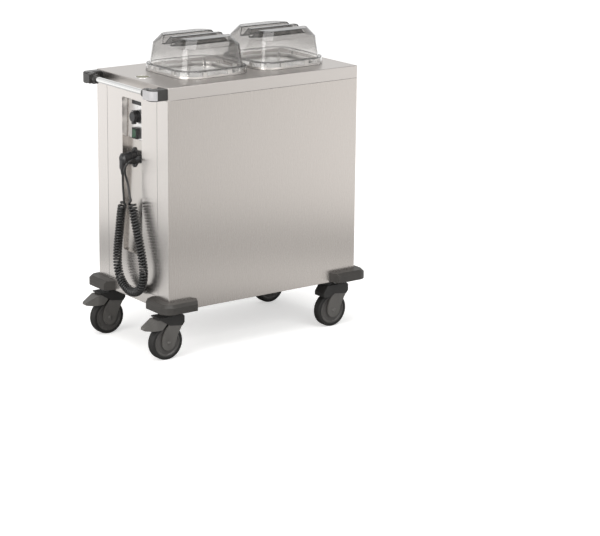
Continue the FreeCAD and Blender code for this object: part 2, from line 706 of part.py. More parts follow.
def leg_outline_face(y):
    """Swept fork leg with a round lower end about the axle, as a face at depth y."""
    wheel = V(-TRAIL, y, WHEEL_RADIUS)

    def rim(angle):
        a = math.radians(angle)
        return V(wheel.x + HUB_BOSS * math.cos(a), y, wheel.z + HUB_BOSS * math.sin(a))

    top_right = V(18.0, y, 121.0)
    top_left = V(-34.5, y, 130.0)
    top_middle = V(-10.0, y, 136.0)
    right = rim(-12)
    left = rim(168)
    edges = [Part.LineSegment(top_left, top_middle), Part.LineSegment(top_middle, top_right),
             Part.Arc(top_right, V(0.5, y, 90.0), right), Part.Arc(right, rim(-102), left),
             Part.Arc(left, V(-55.5, y, 102.0), top_left)]
    return Part.Face(Part.Wire([e.toShape() for e in edges]))


def castor_fork(name, x, y, braked):
    """Head with its roof over the wheel, two swept legs, the axle and, if braked, a pedal pin."""
    head = side_prism(head_outline(braked), -HEAD_HALF, HEAD_HALF)
    legs = []
    for side in (-1, 1):
        inner = side * FORK_INNER
        leg = leg_outline_face(inner).extrude(V(0, side * FORK_THICK, 0))
        leg = leg.cut(head)
        leg = leg.cut(cylinder(AXLE_RADIUS, V(-TRAIL, -40, WHEEL_RADIUS), V(-TRAIL, 40, WHEEL_RADIUS)))
        legs.append(leg)
    wheel_room = cylinder(WHEEL_RADIUS + 4, V(-TRAIL, -FORK_INNER, WHEEL_RADIUS),
                          V(-TRAIL, FORK_INNER, WHEEL_RADIUS))
    head = head.cut(wheel_room)
    head = head.cut(cylinder(KINGPIN_RADIUS + RUNNING_FIT, V(0, 0, HEAD_TOP - KINGPIN_LENGTH - 0.5),
                             V(0, 0, HEAD_TOP + 1)))
    reach = FORK_INNER + FORK_THICK
    solids = legs
    solids.append(cylinder(AXLE_RADIUS, V(-TRAIL, -reach, WHEEL_RADIUS), V(-TRAIL, reach, WHEEL_RADIUS)))
    if braked:
        cheek = PEDAL_HALF + GAP
        head = head.cut(box(-90, PEDAL_PIN[0] + 9, -cheek, cheek, 100, HEAD_TOP - 6.5))
        pin_start = V(PEDAL_PIN[0], -HEAD_HALF, PEDAL_PIN[1])
        pin_end = V(PEDAL_PIN[0], HEAD_HALF, PEDAL_PIN[1])
        pin = cylinder(PEDAL_PIN_RADIUS, pin_start, pin_end)
        head = head.cut(pin)
        solids.append(pin)
    solids.append(head)
    for solid in solids:
        solid.translate(V(x, y, 0))
    save(name, *solids)


def brake_pedal(name, x, y):
    """Foot pedal that turns on the head's pin: a wedge over the tyre between two side cheeks."""
    px, pz = PEDAL_PIN
    side_view = [(-PEDAL_TIP, 120.0), (-PEDAL_TIP + 2, 128.0), (-84.0, 150.0), (px - 14, 149.0),
                 (px, pz + 6), (px + 6, pz), (px + 3, pz - 6), (-63.0, 113.0), (-104.0, 113.0),
                 (-PEDAL_TIP + 4, 117.0)]
    pedal = side_prism(side_view, -PEDAL_HALF, PEDAL_HALF)
    plan = polygon([V(-PEDAL_TIP, -PEDAL_TIP_HALF, 90), V(-84, -PEDAL_HALF, 90), V(0, -PEDAL_HALF, 90),
                    V(0, PEDAL_HALF, 90), V(-84, PEDAL_HALF, 90), V(-PEDAL_TIP, PEDAL_TIP_HALF, 90)])
    pedal = pedal.common(Part.Face(plan).extrude(V(0, 0, 80)))
    room = WHEEL_RADIUS + 9.5
    pedal = pedal.cut(cylinder(room, V(-TRAIL, -FORK_INNER, WHEEL_RADIUS),
                               V(-TRAIL, FORK_INNER, WHEEL_RADIUS)))
    pedal = pedal.cut(cylinder(PEDAL_PIN_RADIUS + RUNNING_FIT, V(px, -40, pz), V(px, 40, pz)))
    middle = pedal.common(box(-200, 0, -FORK_INNER, FORK_INNER, 90, 200))
    cheeks = [pedal.common(box(-200, 0, FORK_INNER, PEDAL_HALF, 90, 200)),
              pedal.common(box(-200, 0, -PEDAL_HALF, -FORK_INNER, 90, 200))]
    solids = [middle] + cheeks
    for solid in solids:
        solid.translate(V(x, y, 0))
    save(name, *solids)


def revolved(points, x, y, z):
    """Ring turned about the axle through (x, y, z) from (radius, offset) points."""
    wire = polygon([V(x, y + offset, z + radius) for radius, offset in points])
    return Part.Face(wire).revolve(V(x, y, z), V(0, 1, 0), 360)


def castor_wheel(core_name, tyre_name, x, y):
    wx = x - TRAIL
    half = TYRE_WIDTH / 2
    hub = FORK_INNER - 1
    bore = AXLE_RADIUS + RUNNING_FIT
    side = [(bore, hub), (15.0, hub), (15.0, hub - 3.5), (42.0, hub - 4.5), (46.0, half - 0.5),
            (TYRE_INNER, half - 0.5)]
    outline = side + [(r, -o) for r, o in reversed(side)]
    save(core_name, revolved(outline, wx, y, WHEEL_RADIUS))
    tread = [(TYRE_INNER, half - 1), (TYRE_INNER + 4, half), (WHEEL_RADIUS - 3, half - 0.5),
             (WHEEL_RADIUS - 0.8, half - 2.5), (WHEEL_RADIUS, half - 6)]
    outline = tread + [(r, -o) for r, o in reversed(tread)]
    save(tyre_name, revolved(outline, wx, y, WHEEL_RADIUS))


def frame_bolts():
    """Hexagon bolts and nuts that hold the castor plates to the tray."""
    bolts = []
    head = 5.0
    across = 7.0
    low = UNDERSIDE - PLATE_THICK
    for x, y in castor_places():
        for bx, by in bolt_places(x, y):
            ring = [V(bx + across * math.cos(math.radians(60 * k)),
                      by + across * math.sin(math.radians(60 * k)), low - head) for k in range(6)]
            bolt = Part.Face(polygon(ring)).extrude(V(0, 0, head))
            bolt = bolt.fuse(cylinder(BOLT_RADIUS, V(bx, by, low), V(bx, by, FLOOR_TOP)))
            nut = [V(p.x, p.y, FLOOR_TOP) for p in ring]
            bolts.append(bolt.fuse(Part.Face(polygon(nut)).extrude(V(0, 0, head))))
    save("frame_bolts", *bolts)


# ---------------------------------------------------------------- controls

def control_plate():
    width, height, thick = CONTROL_PLATE
    plate = Part.makeBox(width, height, thick, V(-width / 2, -height / 2, 0))
    frame = on_floor(0, CONTROL_PLATE_Z)
    plate = placed(plate, frame)
    plate = plate.cut(placed(Part.makeCylinder(SPINDLE_RADIUS + 1, 10, V(0, 0, -5)), on_floor(0, KNOB_Z)))
    slot = Part.makeBox(SWITCH_HOLE[0], SWITCH_HOLE[1], 10,
                        V(-SWITCH_HOLE[0] / 2, -SWITCH_HOLE[1] / 2, -5))
    save("control_plate", plate.cut(placed(slot, on_floor(0, SWITCH_Z))))
    width, height, deep = DISPLAY
    screen = Part.makeBox(width, height, deep, V(-width / 2, -height / 2, thick))
    save("display_plate", placed(screen, on_floor(0, DISPLAY_Z)))


def thermostat():
    """Thermostat body behind the floor with its spindle, and the knob with a finger bar."""
    thick = CONTROL_PLATE[2]
    body = Part.makeBox(44, 44, 24, V(-22, -22, -SHEET - 24))
    spindle = Part.makeCylinder(SPINDLE_RADIUS, SHEET + thick + SPINDLE_LENGTH, V(0, 0, -SHEET))
    save("thermostat_body", placed(body.fuse(spindle), on_floor(0, KNOB_Z)))
    gap = thick + 0.5
    skirt = Part.makeCone(KNOB_RADIUS, KNOB_RADIUS - 2, 7, V(0, 0, gap))
    grip = Part.makeCylinder(KNOB_RADIUS - 5, 15, V(0, 0, gap + 7))
    bar = Part.makeBox(12, 2 * KNOB_RADIUS + 4, 13, V(-6, -KNOB_RADIUS, gap + 7))
    bar = bar.makeFillet(3.0, [e for e in bar.Edges if abs(e.BoundBox.ZLength - 13) < 1e-6])
    knob = skirt.fuse(grip).fuse(bar)
    bore = Part.makeCylinder(SPINDLE_RADIUS + RUNNING_FIT, SPINDLE_LENGTH + 0.5, V(0, 0, thick))
    knob = knob.cut(bore)
    save("thermostat_knob", placed(knob.removeSplitter(), on_floor(0, KNOB_Z)))


def rocker():
    """Switch frame with a body through the floor, and the rocker tilted to its first stop."""
    thick = CONTROL_PLATE[2]
    width, height, deep = SWITCH_FRAME
    inner_w = width - 6
    inner_h = height - 6
    frame = Part.makeBox(width, height, deep, V(-width / 2, -height / 2, thick))
    body = Part.makeBox(SWITCH_HOLE[0], SWITCH_HOLE[1], 20 + SHEET + thick,
                        V(-SWITCH_HOLE[0] / 2, -SWITCH_HOLE[1] / 2, -20 - SHEET))
    housing = frame.fuse(body)
    housing = housing.cut(Part.makeBox(inner_w, inner_h, deep, V(-inner_w / 2, -inner_h / 2, thick + 3)))
    pin_z = thick + deep - 3
    pin = Part.makeCylinder(1.5, inner_w, V(-inner_w / 2, 0, pin_z), V(1, 0, 0))
    save("switch_housing", placed(housing.fuse(pin).removeSplitter(), on_floor(0, SWITCH_Z)))
    w = inner_w / 2 - 0.4
    h = inner_h / 2 - 2.2
    outline = [(-h, pin_z - 2), (-h, pin_z + 4), (0, pin_z + 2.6), (h, pin_z + 4), (h, pin_z - 2),
               (0, pin_z - 3.2)]
    wire = polygon([V(-w, a, b) for a, b in outline])
    paddle = Part.Face(wire).extrude(V(2 * w, 0, 0))
    paddle = paddle.cut(Part.makeCylinder(1.5 + RUNNING_FIT, 40, V(-20, 0, pin_z), V(1, 0, 0)))
    paddle.rotate(V(0, 0, pin_z), V(1, 0, 0), ROCKER_TILT)
    save("rocker_switch", placed(paddle, on_floor(0, SWITCH_Z)))


def socket_flange():
    """Round flange with a screw ear above and below, joined by tangent flanks."""
    plate = Part.makeCylinder(SOCKET_FLANGE, 4, V(0, 0, 0))
    rise = (SOCKET_FLANGE - SOCKET_EAR) / SOCKET_EAR_OFFSET
    run = math.sqrt(1 - rise * rise)
    for up in (-1, 1):
        centre = up * SOCKET_EAR_OFFSET
        plate = plate.fuse(Part.makeCylinder(SOCKET_EAR, 4, V(0, centre, 0)))
        flank = [V(SOCKET_FLANGE * run, up * SOCKET_FLANGE * rise, 0),
                 V(SOCKET_EAR * run, centre + up * SOCKET_EAR * rise, 0)]
        flank += [V(-p.x, p.y, 0) for p in reversed(flank)]
        plate = plate.fuse(Part.Face(polygon(flank)).extrude(V(0, 0, 4)))
        screw = Part.makeCone(5.0, 4.0, 2.0, V(0, centre + up * 1.5, 4))
        plate = plate.fuse(screw)
    return plate


def socket_and_plug():
    """Blind parking socket on the recess floor and the angled plug that is stored in it."""
    x_floor = X0 + recess_floor(SOCKET_Z)
    x_mouth = X0 + PLUG_FACE_X
    frame = on_floor(SOCKET_Y, SOCKET_Z)
    y, z = SOCKET_Y, SOCKET_Z

    def along(radius, xa, xb):
        return cylinder(radius, V(xa, y, z), V(xb, y, z))

    flange = placed(socket_flange(), frame)
    tube = along(SOCKET_RADIUS, x_mouth, x_floor - 2)
    back = placed(Part.makeCylinder(SOCKET_BORE, 22, V(0, 0, -22)), frame)
    socket = flange.fuse(tube).fuse(back)
    socket = socket.cut(along(SOCKET_BORE, x_mouth - 1, x_floor - 6))
    for side in (-1, 1):
        hole_y = y + side * 9.5
        socket = socket.cut(cylinder(3.0, V(x_floor - 10, hole_y, z), V(x_floor + 14, hole_y, z)))
    save("parking_socket", socket.removeSplitter())

    x_end = X0 + PLUG_X
    x_cord = X0 + CORD_X
    nose = along(SOCKET_BORE - GAP, x_mouth, x_floor - 6 - GAP)
    body = along(PLUG_RADIUS, x_mouth, x_end + 6)
    body = body.fuse(Part.makeCone(PLUG_RADIUS, PLUG_RADIUS - 7, 6, V(x_end + 6, y, z), V(-1, 0, 0)))
    grip = Part.makeBox(18, 20, 32, V(x_cord - 9, y - 10, z - 34))
    grip = grip.makeFillet(5.0, upright_edges(grip, lambda a, b: True))
    tail = TAIL_ROUTE[-1][2]
    strain = Part.makeCone(9.0, CORD_RADIUS + 1.2, z - 32 - tail, V(x_cord, y, z - 32), V(0, 0, -1))
    plug = body.fuse(nose).fuse(grip).fuse(strain)
    for side in (-1, 1):
        plug = plug.fuse(cylinder(2.4, V(x_floor - 8, y + side * 9.5, z),
                                  V(x_floor + 12, y + side * 9.5, z)))
    save("cord_plug", plug.removeSplitter())


def cable_gland():
    """Gland on the recess floor: base flange, hexagon, domed nut and the cord's mouth."""
    x_floor = X0 + recess_floor(GLAND_Z)
    x_mouth = X0 + LEAD_ROUTE[0][0]
    y, z = GLAND_Y, GLAND_Z
    base = placed(Part.makeCylinder(GLAND_RADIUS, 4, V(0, 0, 0)), on_floor(y, z))
    thread = placed(Part.makeCylinder(7.5, 16, V(0, 0, -14)), on_floor(y, z))
    flats = [V(x_floor - 3, y + 12 * math.cos(math.radians(60 * k)),
               z + 12 * math.sin(math.radians(60 * k))) for k in range(6)]
    nut = Part.Face(polygon(flats)).extrude(V(-9, 0, 0))
    dome = Part.makeCone(11.5, CORD_RADIUS + 1.5, x_floor - 11 - x_mouth, V(x_floor - 11, y, z),
                         V(-1, 0, 0))
    save("cable_gland", base.fuse(thread).fuse(nut).fuse(dome).removeSplitter())


# ---------------------------------------------------------------- supply cord

def route_points(route):
    return [V(X0 + x, y, z) for x, y, z in route]


def cord_tube(name, route):
    """Tube of straight runs joined by tangent arcs, as large as the runs allow."""
    points = route_points(route)
    edges = []
    start = points[0]
    length = 0.0
    radii = []
    for k in range(1, len(points) - 1):
        before = points[k].sub(points[k - 1])
        after = points[k + 1].sub(points[k])
        turn = before.getAngle(after)
        cut = 0.45 * min(before.Length, after.Length)
        radius = cut / math.tan(turn / 2)
        radii.append(round(radius, 1))
        u = V(before).normalize()
        w = V(after).normalize()
        a = points[k].sub(u.multiply(cut))
        b = points[k].add(V(w).multiply(cut))
        inward = V(w).sub(V(before).normalize()).normalize()
        depth = radius * (1 / math.cos(turn / 2) - 1)
        middle = points[k].add(inward.multiply(depth))
        edges.append(Part.LineSegment(start, a).toShape())
        edges.append(Part.Arc(a, middle, b).toShape())
        length += a.sub(start).Length + radius * turn
        start = b
    edges.append(Part.LineSegment(start, points[-1]).toShape())
    length += points[-1].sub(start).Length
    path = Part.Wire(edges)
    first = points[1].sub(points[0])
    ring = Part.Wire(Part.Circle(points[0], first, CORD_RADIUS).toShape())
    tube = path.makePipeShell([ring], True, False)
    ideal = math.pi * CORD_RADIUS ** 2 * length
    print(name, "length", round(length, 1), "radii", radii,
          "volume ratio", round(tube.Volume / ideal, 5))
    save(name, tube)
    return length


def coil_axis():
    """Smooth line down the middle of the curls: a quadratic spline on the route's points."""
    poles = route_points(COIL_ROUTE)
    spans = len(poles) - 2
    knots = [float(k) for k in range(spans + 1)]
    mults = [3] + [1] * (spans - 1) + [3]
    curve = Part.BSplineCurve()
    curve.buildFromPolesMultsKnots(poles, mults, knots, False, 2)
    return curve


def curl_points():
    """Points and directions along the curly cord's wire, a few to a curl."""
    axis = coil_axis()
    total = axis.length()
    straight = 2 * CORD_RADIUS
    ramp = CURL_LEAD_IN
    body = total - 2 * straight - 2 * ramp
    curls = max(1, round(body / CURL_PITCH)) + 2
    steps = curls * STEPS_PER_CURL
    across = V(1, 0, 0)

    def wire(t):
        turn = t * curls
        lead = min(turn, 1.0)
        tail = min(curls - turn, 1.0)
        if turn < 1:
            s = ramp * turn
        elif turn > curls - 1:
            s = 2 * ramp + body - ramp * (curls - turn)
        else:
            s = ramp + body * (turn - 1) / (curls - 2)
        grow = min(lead, tail)
        radius = CURL_RADIUS * grow * grow * (3 - 2 * grow)
        u = axis.parameterAtDistance(straight + s)
        centre = axis.value(u)
        along = axis.tangent(u)[0]
        flat = along.cross(across)
        angle = 2 * math.pi * turn
        return centre.add(V(across).multiply(radius * math.cos(angle))).add(
            flat.multiply(radius * math.sin(angle)))

    small = 1e-4
    points = []
    for k in range(steps + 1):
        t = k / steps
        a = wire(max(t - small, 0.0))
        b = wire(min(t + small, 1.0))
        points.append((wire(t), b.sub(a).normalize()))
    first = axis.value(axis.FirstParameter)
    last = axis.value(axis.LastParameter)
    leave = V(axis.tangent(axis.FirstParameter)[0]).normalize()
    arrive = V(axis.tangent(axis.LastParameter)[0]).normalize()
    points[0] = (first.add(V(leave).multiply(straight)), leave)
    points[-1] = (last.sub(V(arrive).multiply(straight)), arrive)
    return first, points, last, curls


def biarc(p, tp, q, tq):
    """Two arcs from p to q that leave along tp and arrive along tq."""
    v = q.sub(p)
    both = tp.add(tq)
    a = 2 * (1 - tp.dot(tq))
    b = 2 * v.dot(both)
    c = -v.dot(v)
    d = -c / b if abs(a) < 1e-9 else (-b + math.sqrt(b * b - 4 * a * c)) / (2 * a)
    c1 = p.add(V(tp).multiply(d))
    c2 = q.sub(V(tq).multiply(d))
    joint = c1.add(c2).multiply(0.5)
    arcs = []
    for start, corner, end in ((p, c1, joint), (joint, c2, q)):
        chord = end.sub(start)
        middle = start.add(end).multiply(0.5)
        rise = corner.sub(middle)
        half = chord.Length / 2
        angle = math.atan2(rise.Length, half)
        sag = half * math.tan(angle / 2)
        top = middle.add(V(rise).normalize().multiply(sag))
        radius = half / math.sin(angle)
        arcs.append((start, top, end, radius))
    return arcs


def curly_cord():
    first, points, last, curls = curl_points()
    edges = [Part.LineSegment(first, points[0][0]).toShape()]
    length = points[0][0].sub(first).Length
    tightest = 1e9
    for (p, tp), (q, tq) in zip(points, points[1:]):
        for start, top, end, radius in biarc(p, tp, q, tq):
            arc = Part.Arc(start, top, end).toShape()
            edges.append(arc)
            length += arc.Length
            tightest = min(tightest, radius)
    edges.append(Part.LineSegment(points[-1][0], last).toShape())
    length += last.sub(points[-1][0]).Length
    path = Part.Wire(edges)
    along = points[0][0].sub(first).normalize()
    side = along.cross(V(1, 0, 0))
    section = [first.add(V(1, 0, 0).multiply(CORD_RADIUS * math.cos(2 * math.pi * k / CURL_SIDES))).add(
        V(side).multiply(CORD_RADIUS * math.sin(2 * math.pi * k / CURL_SIDES)))
        for k in range(CURL_SIDES)]
    tube = path.makePipeShell([polygon(section)], True, False)
    area = 0.5 * CURL_SIDES * CORD_RADIUS ** 2 * math.sin(2 * math.pi / CURL_SIDES)
    print("cord_coil curls", curls, "length", round(length, 1), "tightest", round(tightest, 2),
          "volume ratio", round(tube.Volume / (area * length), 5), "least gap",
          round(least_gap(edges), 2))
    save("cord_coil", tube)
    return length


def least_gap(edges):
    """Clear distance between the wire and its next curl, measured on points along the path."""
    line = []
    for edge in edges:
        line += edge.discretize(Number=5)[:-1]
    per_curl = 8 * STEPS_PER_CURL
    least = 1e9
    for k in range(len(line)):
        for j in range(k + per_curl // 2, min(k + 2 * per_curl, len(line))):
            least = min(least, line[k].distanceToPoint(line[j]))
    return least - 2 * CORD_RADIUS


def main():
    top_deck()
    side_panel("side_panel_front", -1)
    side_panel("side_panel_back", 1)
    control_end_panel()
    far_end_panel()
    base_frame()
    corners = {"near_front": (-1, -1), "near_back": (-1, 1), "far_front": (1, -1), "far_back": (1, 1)}
    for name, (sx, sy) in corners.items():
        bumper("bumper_" + name, sx, sy)
    handle_bracket("handle_bracket_front", -1)
    handle_bracket("handle_bracket_back", 1)
    push_handle_tube()
    handle_inlays()
    for k, cx in enumerate(WELLS, 1):
        well_shaft("well_shaft_%d" % k, cx)
        well_collar("well_collar_%d" % k, cx)
        guide_rods("guide_rods_%d" % k, cx)
        plate_platform("plate_platform_%d" % k, cx)
        lift_springs("lift_springs_%d" % k, cx)
        hood("hood_%d" % k, cx)
    fan_heater()
    for (name, _), (x, y) in zip(corners.items(), castor_places()):
        braked = name.startswith("near")
        castor_mount("castor_mount_" + name, x, y)
        castor_fork("castor_fork_" + name, x, y, braked)
        castor_wheel("castor_wheel_" + name, "castor_tyre_" + name, x, y)
        if braked:
            brake_pedal("brake_pedal_" + name.split("_")[1], x, y)
    frame_bolts()
    control_plate()
    thermostat()
    rocker()
    socket_and_plug()
    cable_gland()
    total = cord_tube("cord_lead", LEAD_ROUTE)
    total += curly_cord()
    total += cord_tube("cord_tail", TAIL_ROUTE)
    print("cord length", round(total, 1))


main()
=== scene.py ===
"""Looks of the heated plate dispenser cart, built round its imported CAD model. Metres, +Z up."""
import math

import bmesh
import bpy
from mathutils import Matrix, Vector


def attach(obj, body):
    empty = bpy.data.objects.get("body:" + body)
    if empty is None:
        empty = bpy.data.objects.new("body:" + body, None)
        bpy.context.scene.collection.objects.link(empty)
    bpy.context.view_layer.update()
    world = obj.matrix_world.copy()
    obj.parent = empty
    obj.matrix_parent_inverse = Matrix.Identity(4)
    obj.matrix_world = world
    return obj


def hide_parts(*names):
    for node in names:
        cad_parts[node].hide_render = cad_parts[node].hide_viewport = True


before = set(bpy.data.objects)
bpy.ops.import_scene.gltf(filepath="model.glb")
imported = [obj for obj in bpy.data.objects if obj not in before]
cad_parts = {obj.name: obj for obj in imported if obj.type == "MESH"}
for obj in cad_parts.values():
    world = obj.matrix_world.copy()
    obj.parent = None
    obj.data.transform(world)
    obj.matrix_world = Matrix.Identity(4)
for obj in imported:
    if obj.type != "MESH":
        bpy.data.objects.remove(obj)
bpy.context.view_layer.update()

# ---- places shared with the CAD model ----
HANDLE_END = -0.37725
FAR_END = 0.42775
HALF_WIDTH = 0.2265
SEAM_BOTTOM = 0.212
PANEL_TOP = 0.9122
RETURN_EDGE = 0.1581
DECK = 0.957
UP = Vector((0.0, 0.0, 1.0))
CORNERS = ("near_front", "near_back", "far_front", "far_back")

# ---- the supply cord: x out from the handle end, y from the middle, z ----
CORD_RADIUS = 0.004
CURL_RADIUS = 0.0125
CURL_PITCH = 0.0104
CURL_LEAD_IN = 0.024
POINTS_PER_CURL = 14
GUIDE_STEPS = 40
LEAD_ROUTE = [
    (-0.006, -0.029, 0.678),
    (-0.022, -0.029, 0.678),
    (-0.039, -0.027, 0.668),
    (-0.044, -0.020, 0.648),
    (-0.0385, -0.015, 0.627),
    (-0.030, -0.016, 0.603),
    (-0.030, -0.031, 0.552),
]
COIL_ROUTE = [
    (-0.030, -0.031, 0.552),
    (-0.030, -0.0351, 0.538),
    (-0.030, -0.051, 0.512),
    (-0.030, -0.0565, 0.487),
    (-0.030, -0.079, 0.428),
    (-0.030, -0.104, 0.355),
    (-0.030, -0.119, 0.290),
    (-0.030, -0.092, 0.226),
    (-0.030, -0.030, 0.206),
    (-0.030, 0.030, 0.232),
    (-0.030, 0.056, 0.285),
    (-0.030, 0.054, 0.348),
    (-0.030, 0.0395, 0.418),
    (-0.030, 0.0255, 0.499),
    (-0.030, 0.0073, 0.527),
    (-0.030, 0.009, 0.541),
]
TAIL_ROUTE = [
    (-0.030, 0.009, 0.541),
    (-0.030, 0.0145, 0.586),
    (-0.030, 0.0145, 0.621),
]

# ---- controls on the leaning floor of the recess ----
RECESS_BOTTOM = 0.340
RECESS_TOP = 0.885
RECESS_HALF = 0.0615
RECESS_DEPTH_BOTTOM = 0.010
RECESS_LEAN = 0.017 / (RECESS_TOP - RECESS_BOTTOM)
PANEL_SKIN = 0.0005
PLATE_MIDDLE = 0.812
PLATE_SIZE = (0.112, 0.140)
PLATE_THICK = 0.0015
KNOB_HEIGHT = 0.822
KNOB_TOP = 0.022
KNOB_POINTER_MIDDLE = 0.013
SCREW_INSET = 0.006
SCREW_RADIUS = 0.0026
# rim and thickness of the dark sheet painted as shadow round the control plate
SHADOW_OUTLINE_RIM = 0.003
SHADOW_OUTLINE_THICK = 0.0008
POINTER_SIZE = (0.0018, 0.0150, 0.0004)

# ---- the dial's print: circles in metres, angles in degrees from straight up ----
TICK_CIRCLE = 0.0265
NUMBER_CIRCLE = 0.0325
NUMBER_HEIGHT = 0.0062
PRINT_THICK = 0.00008
DIAL_START = 135
TICK_STEP = 15
TICK_SIZE = (0.0006, 0.0028, 0.0002)
TICKS = 19
NUMBER_STEP = 45
NUMBERS = 7

# ---- hoods: paler below the first height over the deck as painted glare, fully smoky from the second ----
HOOD_PAINTED_GLARE_TO = 0.012
HOOD_FULL_SMOKE_FROM = 0.065
HOOD_IOR = 1.49
CREASE_RADIUS = 0.0035

# ---- deck plug, and dark strips painted as the seams' shadow ----
DECK_PLUG_INSET = 0.0455
SEAM_WIDTH = 0.0016
SEAM_PROUD = 0.0003

# ---- how a grain runs: evenly, along the cart, or upright; and how deep it is ----
EVEN = (1.0, 1.0, 1.0)
ALONG = (0.02, 1.0, 1.0)
UPRIGHT = (1.0, 1.0, 0.02)
GRAIN_DEPTH = 0.0002

# ---- castors ----
CASTOR_INSET = (0.0445, 0.0355)
WHEEL_RADIUS = 0.0625
TRAIL = 0.038
FORK_OUTER = 0.025
FORK_LEG = (0.0184, 0.0251)
FORK_LEG_TOP = 0.1278

# ---- camera, set from the photograph ----
CAMERA_PLACE = (-4.411484, -6.367297, 2.340087)
CAMERA_TURN = 36.798796
CAMERA_PITCH = 15.252794
CAMERA_ROLL = 0.614976
CAMERA_LENS = 133.589102
SENSOR_WIDTH = 36.0
CAMERA_REACH = 60.0

# ---- the floor's own light, by metres from the object's middle: as the eye and as metal see it ----
EYE_GLOW = [(0.0, 0.50), (0.8, 0.50), (1.6, 0.60), (3.0, 0.68), (6.0, 0.70)]
METAL_GLOW = [(0.0, 0.0), (0.6, 0.05), (1.1, 0.66), (1.6, 0.30), (2.15, 0.80), (3.6, 0.95),
              (6.0, 0.95)]
METAL_SLOPE = (0.31, 0.24)
METAL_SLOPE_RANGE = (0.6, 1.45)
METAL_DIMS_FLOOR = 0.7
METAL_CEILING = 0.35
WORLD_LIGHT = 0.42
FLOOR_REACH = 14.0


def make_camera():
    """Camera at its place, turned about the upright, tipped down and rolled a little."""
    a = math.radians(CAMERA_TURN)
    e = math.radians(CAMERA_PITCH)
    roll = math.radians(CAMERA_ROLL)
    back = Vector((-math.sin(a) * math.cos(e), -math.cos(a) * math.cos(e), math.sin(e)))
    right = Vector((math.cos(a), -math.sin(a), 0.0))
    up = back.cross(right)
    turned_right = right * math.cos(roll) + up * math.sin(roll)
    turned_up = up * math.cos(roll) - right * math.sin(roll)
    turn = Matrix((turned_right, turned_up, back)).transposed()
    data = bpy.data.cameras.new("camera")
    data.lens = CAMERA_LENS
    data.sensor_fit = "HORIZONTAL"
    data.sensor_width = SENSOR_WIDTH
    data.clip_end = CAMERA_REACH
    camera = bpy.data.objects.new("camera", data)
    camera.matrix_world = Matrix.Translation(CAMERA_PLACE) @ turn.to_4x4()
    bpy.context.scene.collection.objects.link(camera)
    bpy.context.scene.camera = camera


# ---------------------------------------------------------------- cord

def place_route(route):
    """A route's points in the frame's own places."""
    return [Vector((HANDLE_END + x, y, z)) for x, y, z in route]


def nurbs_curve(name, points, bevel):
    """Object with one smooth open spline steered by the points, and round where bevel isn't 0."""
    curve = bpy.data.curves.new(name, "CURVE")
    curve.dimensions = "3D"
    spline = curve.splines.new("NURBS")
    spline.points.add(len(points) - 1)
    for slot, point in zip(spline.points, points):
        slot.co = (*point, 1.0)
    spline.order_u = 3
    spline.use_endpoint_u = True
    spline.resolution_u = 4
    curve.bevel_depth = bevel
    curve.bevel_resolution = 5
    obj = bpy.data.objects.new(name, curve)
    bpy.context.scene.collection.objects.link(obj)
    return obj


def line_of(route):
    """Points along the smooth line of a route's own spline."""
    guide = nurbs_curve("route_guide", place_route(route), 0.0)
    guide.data.splines[0].resolution_u = GUIDE_STEPS
    bpy.context.view_layer.update()
    mesh = bpy.data.meshes.new_from_object(guide)
    points = [v.co.copy() for v in mesh.vertices]
    bpy.data.objects.remove(guide)
    bpy.data.meshes.remove(mesh)
    return points


def walker(points):
    """A function that gives the place and direction at a distance along a line of points."""
    reach = [0.0]
    for a, b in zip(points, points[1:]):
        reach.append(reach[-1] + (b - a).length)

    def at(distance):
        distance = min(max(distance, 0.0), reach[-1])
        low = 0
        high = len(reach) - 1
        while high - low > 1:
            middle = (low + high) // 2
            if reach[middle] <= distance:
                low = middle
            else:
                high = middle
        part = (distance - reach[low]) / (reach[high] - reach[low])
        place = points[low].lerp(points[high], part)
        before = points[max(low - 1, 0)]
        after = points[min(high + 1, len(points) - 1)]
        return place, (after - before).normalized()

    return at, reach[-1]


def curl_points():
    """The curly stretch: a helix whose radius grows from nothing and shrinks to nothing at its ends."""
    at, total = walker(line_of(COIL_ROUTE))
    straight = 2 * CORD_RADIUS
    body = total - 2 * straight - 2 * CURL_LEAD_IN
    curls = round(body / CURL_PITCH) + 2
    steps = curls * POINTS_PER_CURL
    across = Vector((1.0, 0.0, 0.0))
    points = []
    for k in range(steps + 1):
        turn = k / POINTS_PER_CURL
        if turn < 1:
            s = CURL_LEAD_IN * turn
        elif turn > curls - 1:
            s = 2 * CURL_LEAD_IN + body - CURL_LEAD_IN * (curls - turn)
        else:
            s = CURL_LEAD_IN + body * (turn - 1) / (curls - 2)
        grow = min(turn, curls - turn, 1.0)
        radius = CURL_RADIUS * grow * grow * (3 - 2 * grow)
        place, along = at(straight + s)
        flat = along.cross(across)
        angle = 2 * math.pi * turn
        points.append(place + across * radius * math.cos(angle) + flat * radius * math.sin(angle))
    return points


def make_cord(material):
    """Lead, curls and tail as one tube on one spline."""
    lead = place_route(LEAD_ROUTE)
    tail = place_route(TAIL_ROUTE)
    points = lead + curl_points() + tail
    cord = nurbs_curve("supply_cord", points, CORD_RADIUS)
    cord.data.use_fill_caps = True
    cord.data.materials.append(material)
    bpy.context.view_layer.update()
    bare = cord.data.copy()
    bare.bevel_depth = 0.0
    probe = bpy.data.objects.new("probe", bare)
    bpy.context.scene.collection.objects.link(probe)
    bpy.context.view_layer.update()
    mesh = bpy.data.meshes.new_from_object(probe)
    bpy.data.objects.remove(probe)
    bpy.data.meshes.remove(mesh)
    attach(cord, "cabinet")
    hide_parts("cord_lead", "cord_coil", "cord_tail")


# ---------------------------------------------------------------- materials

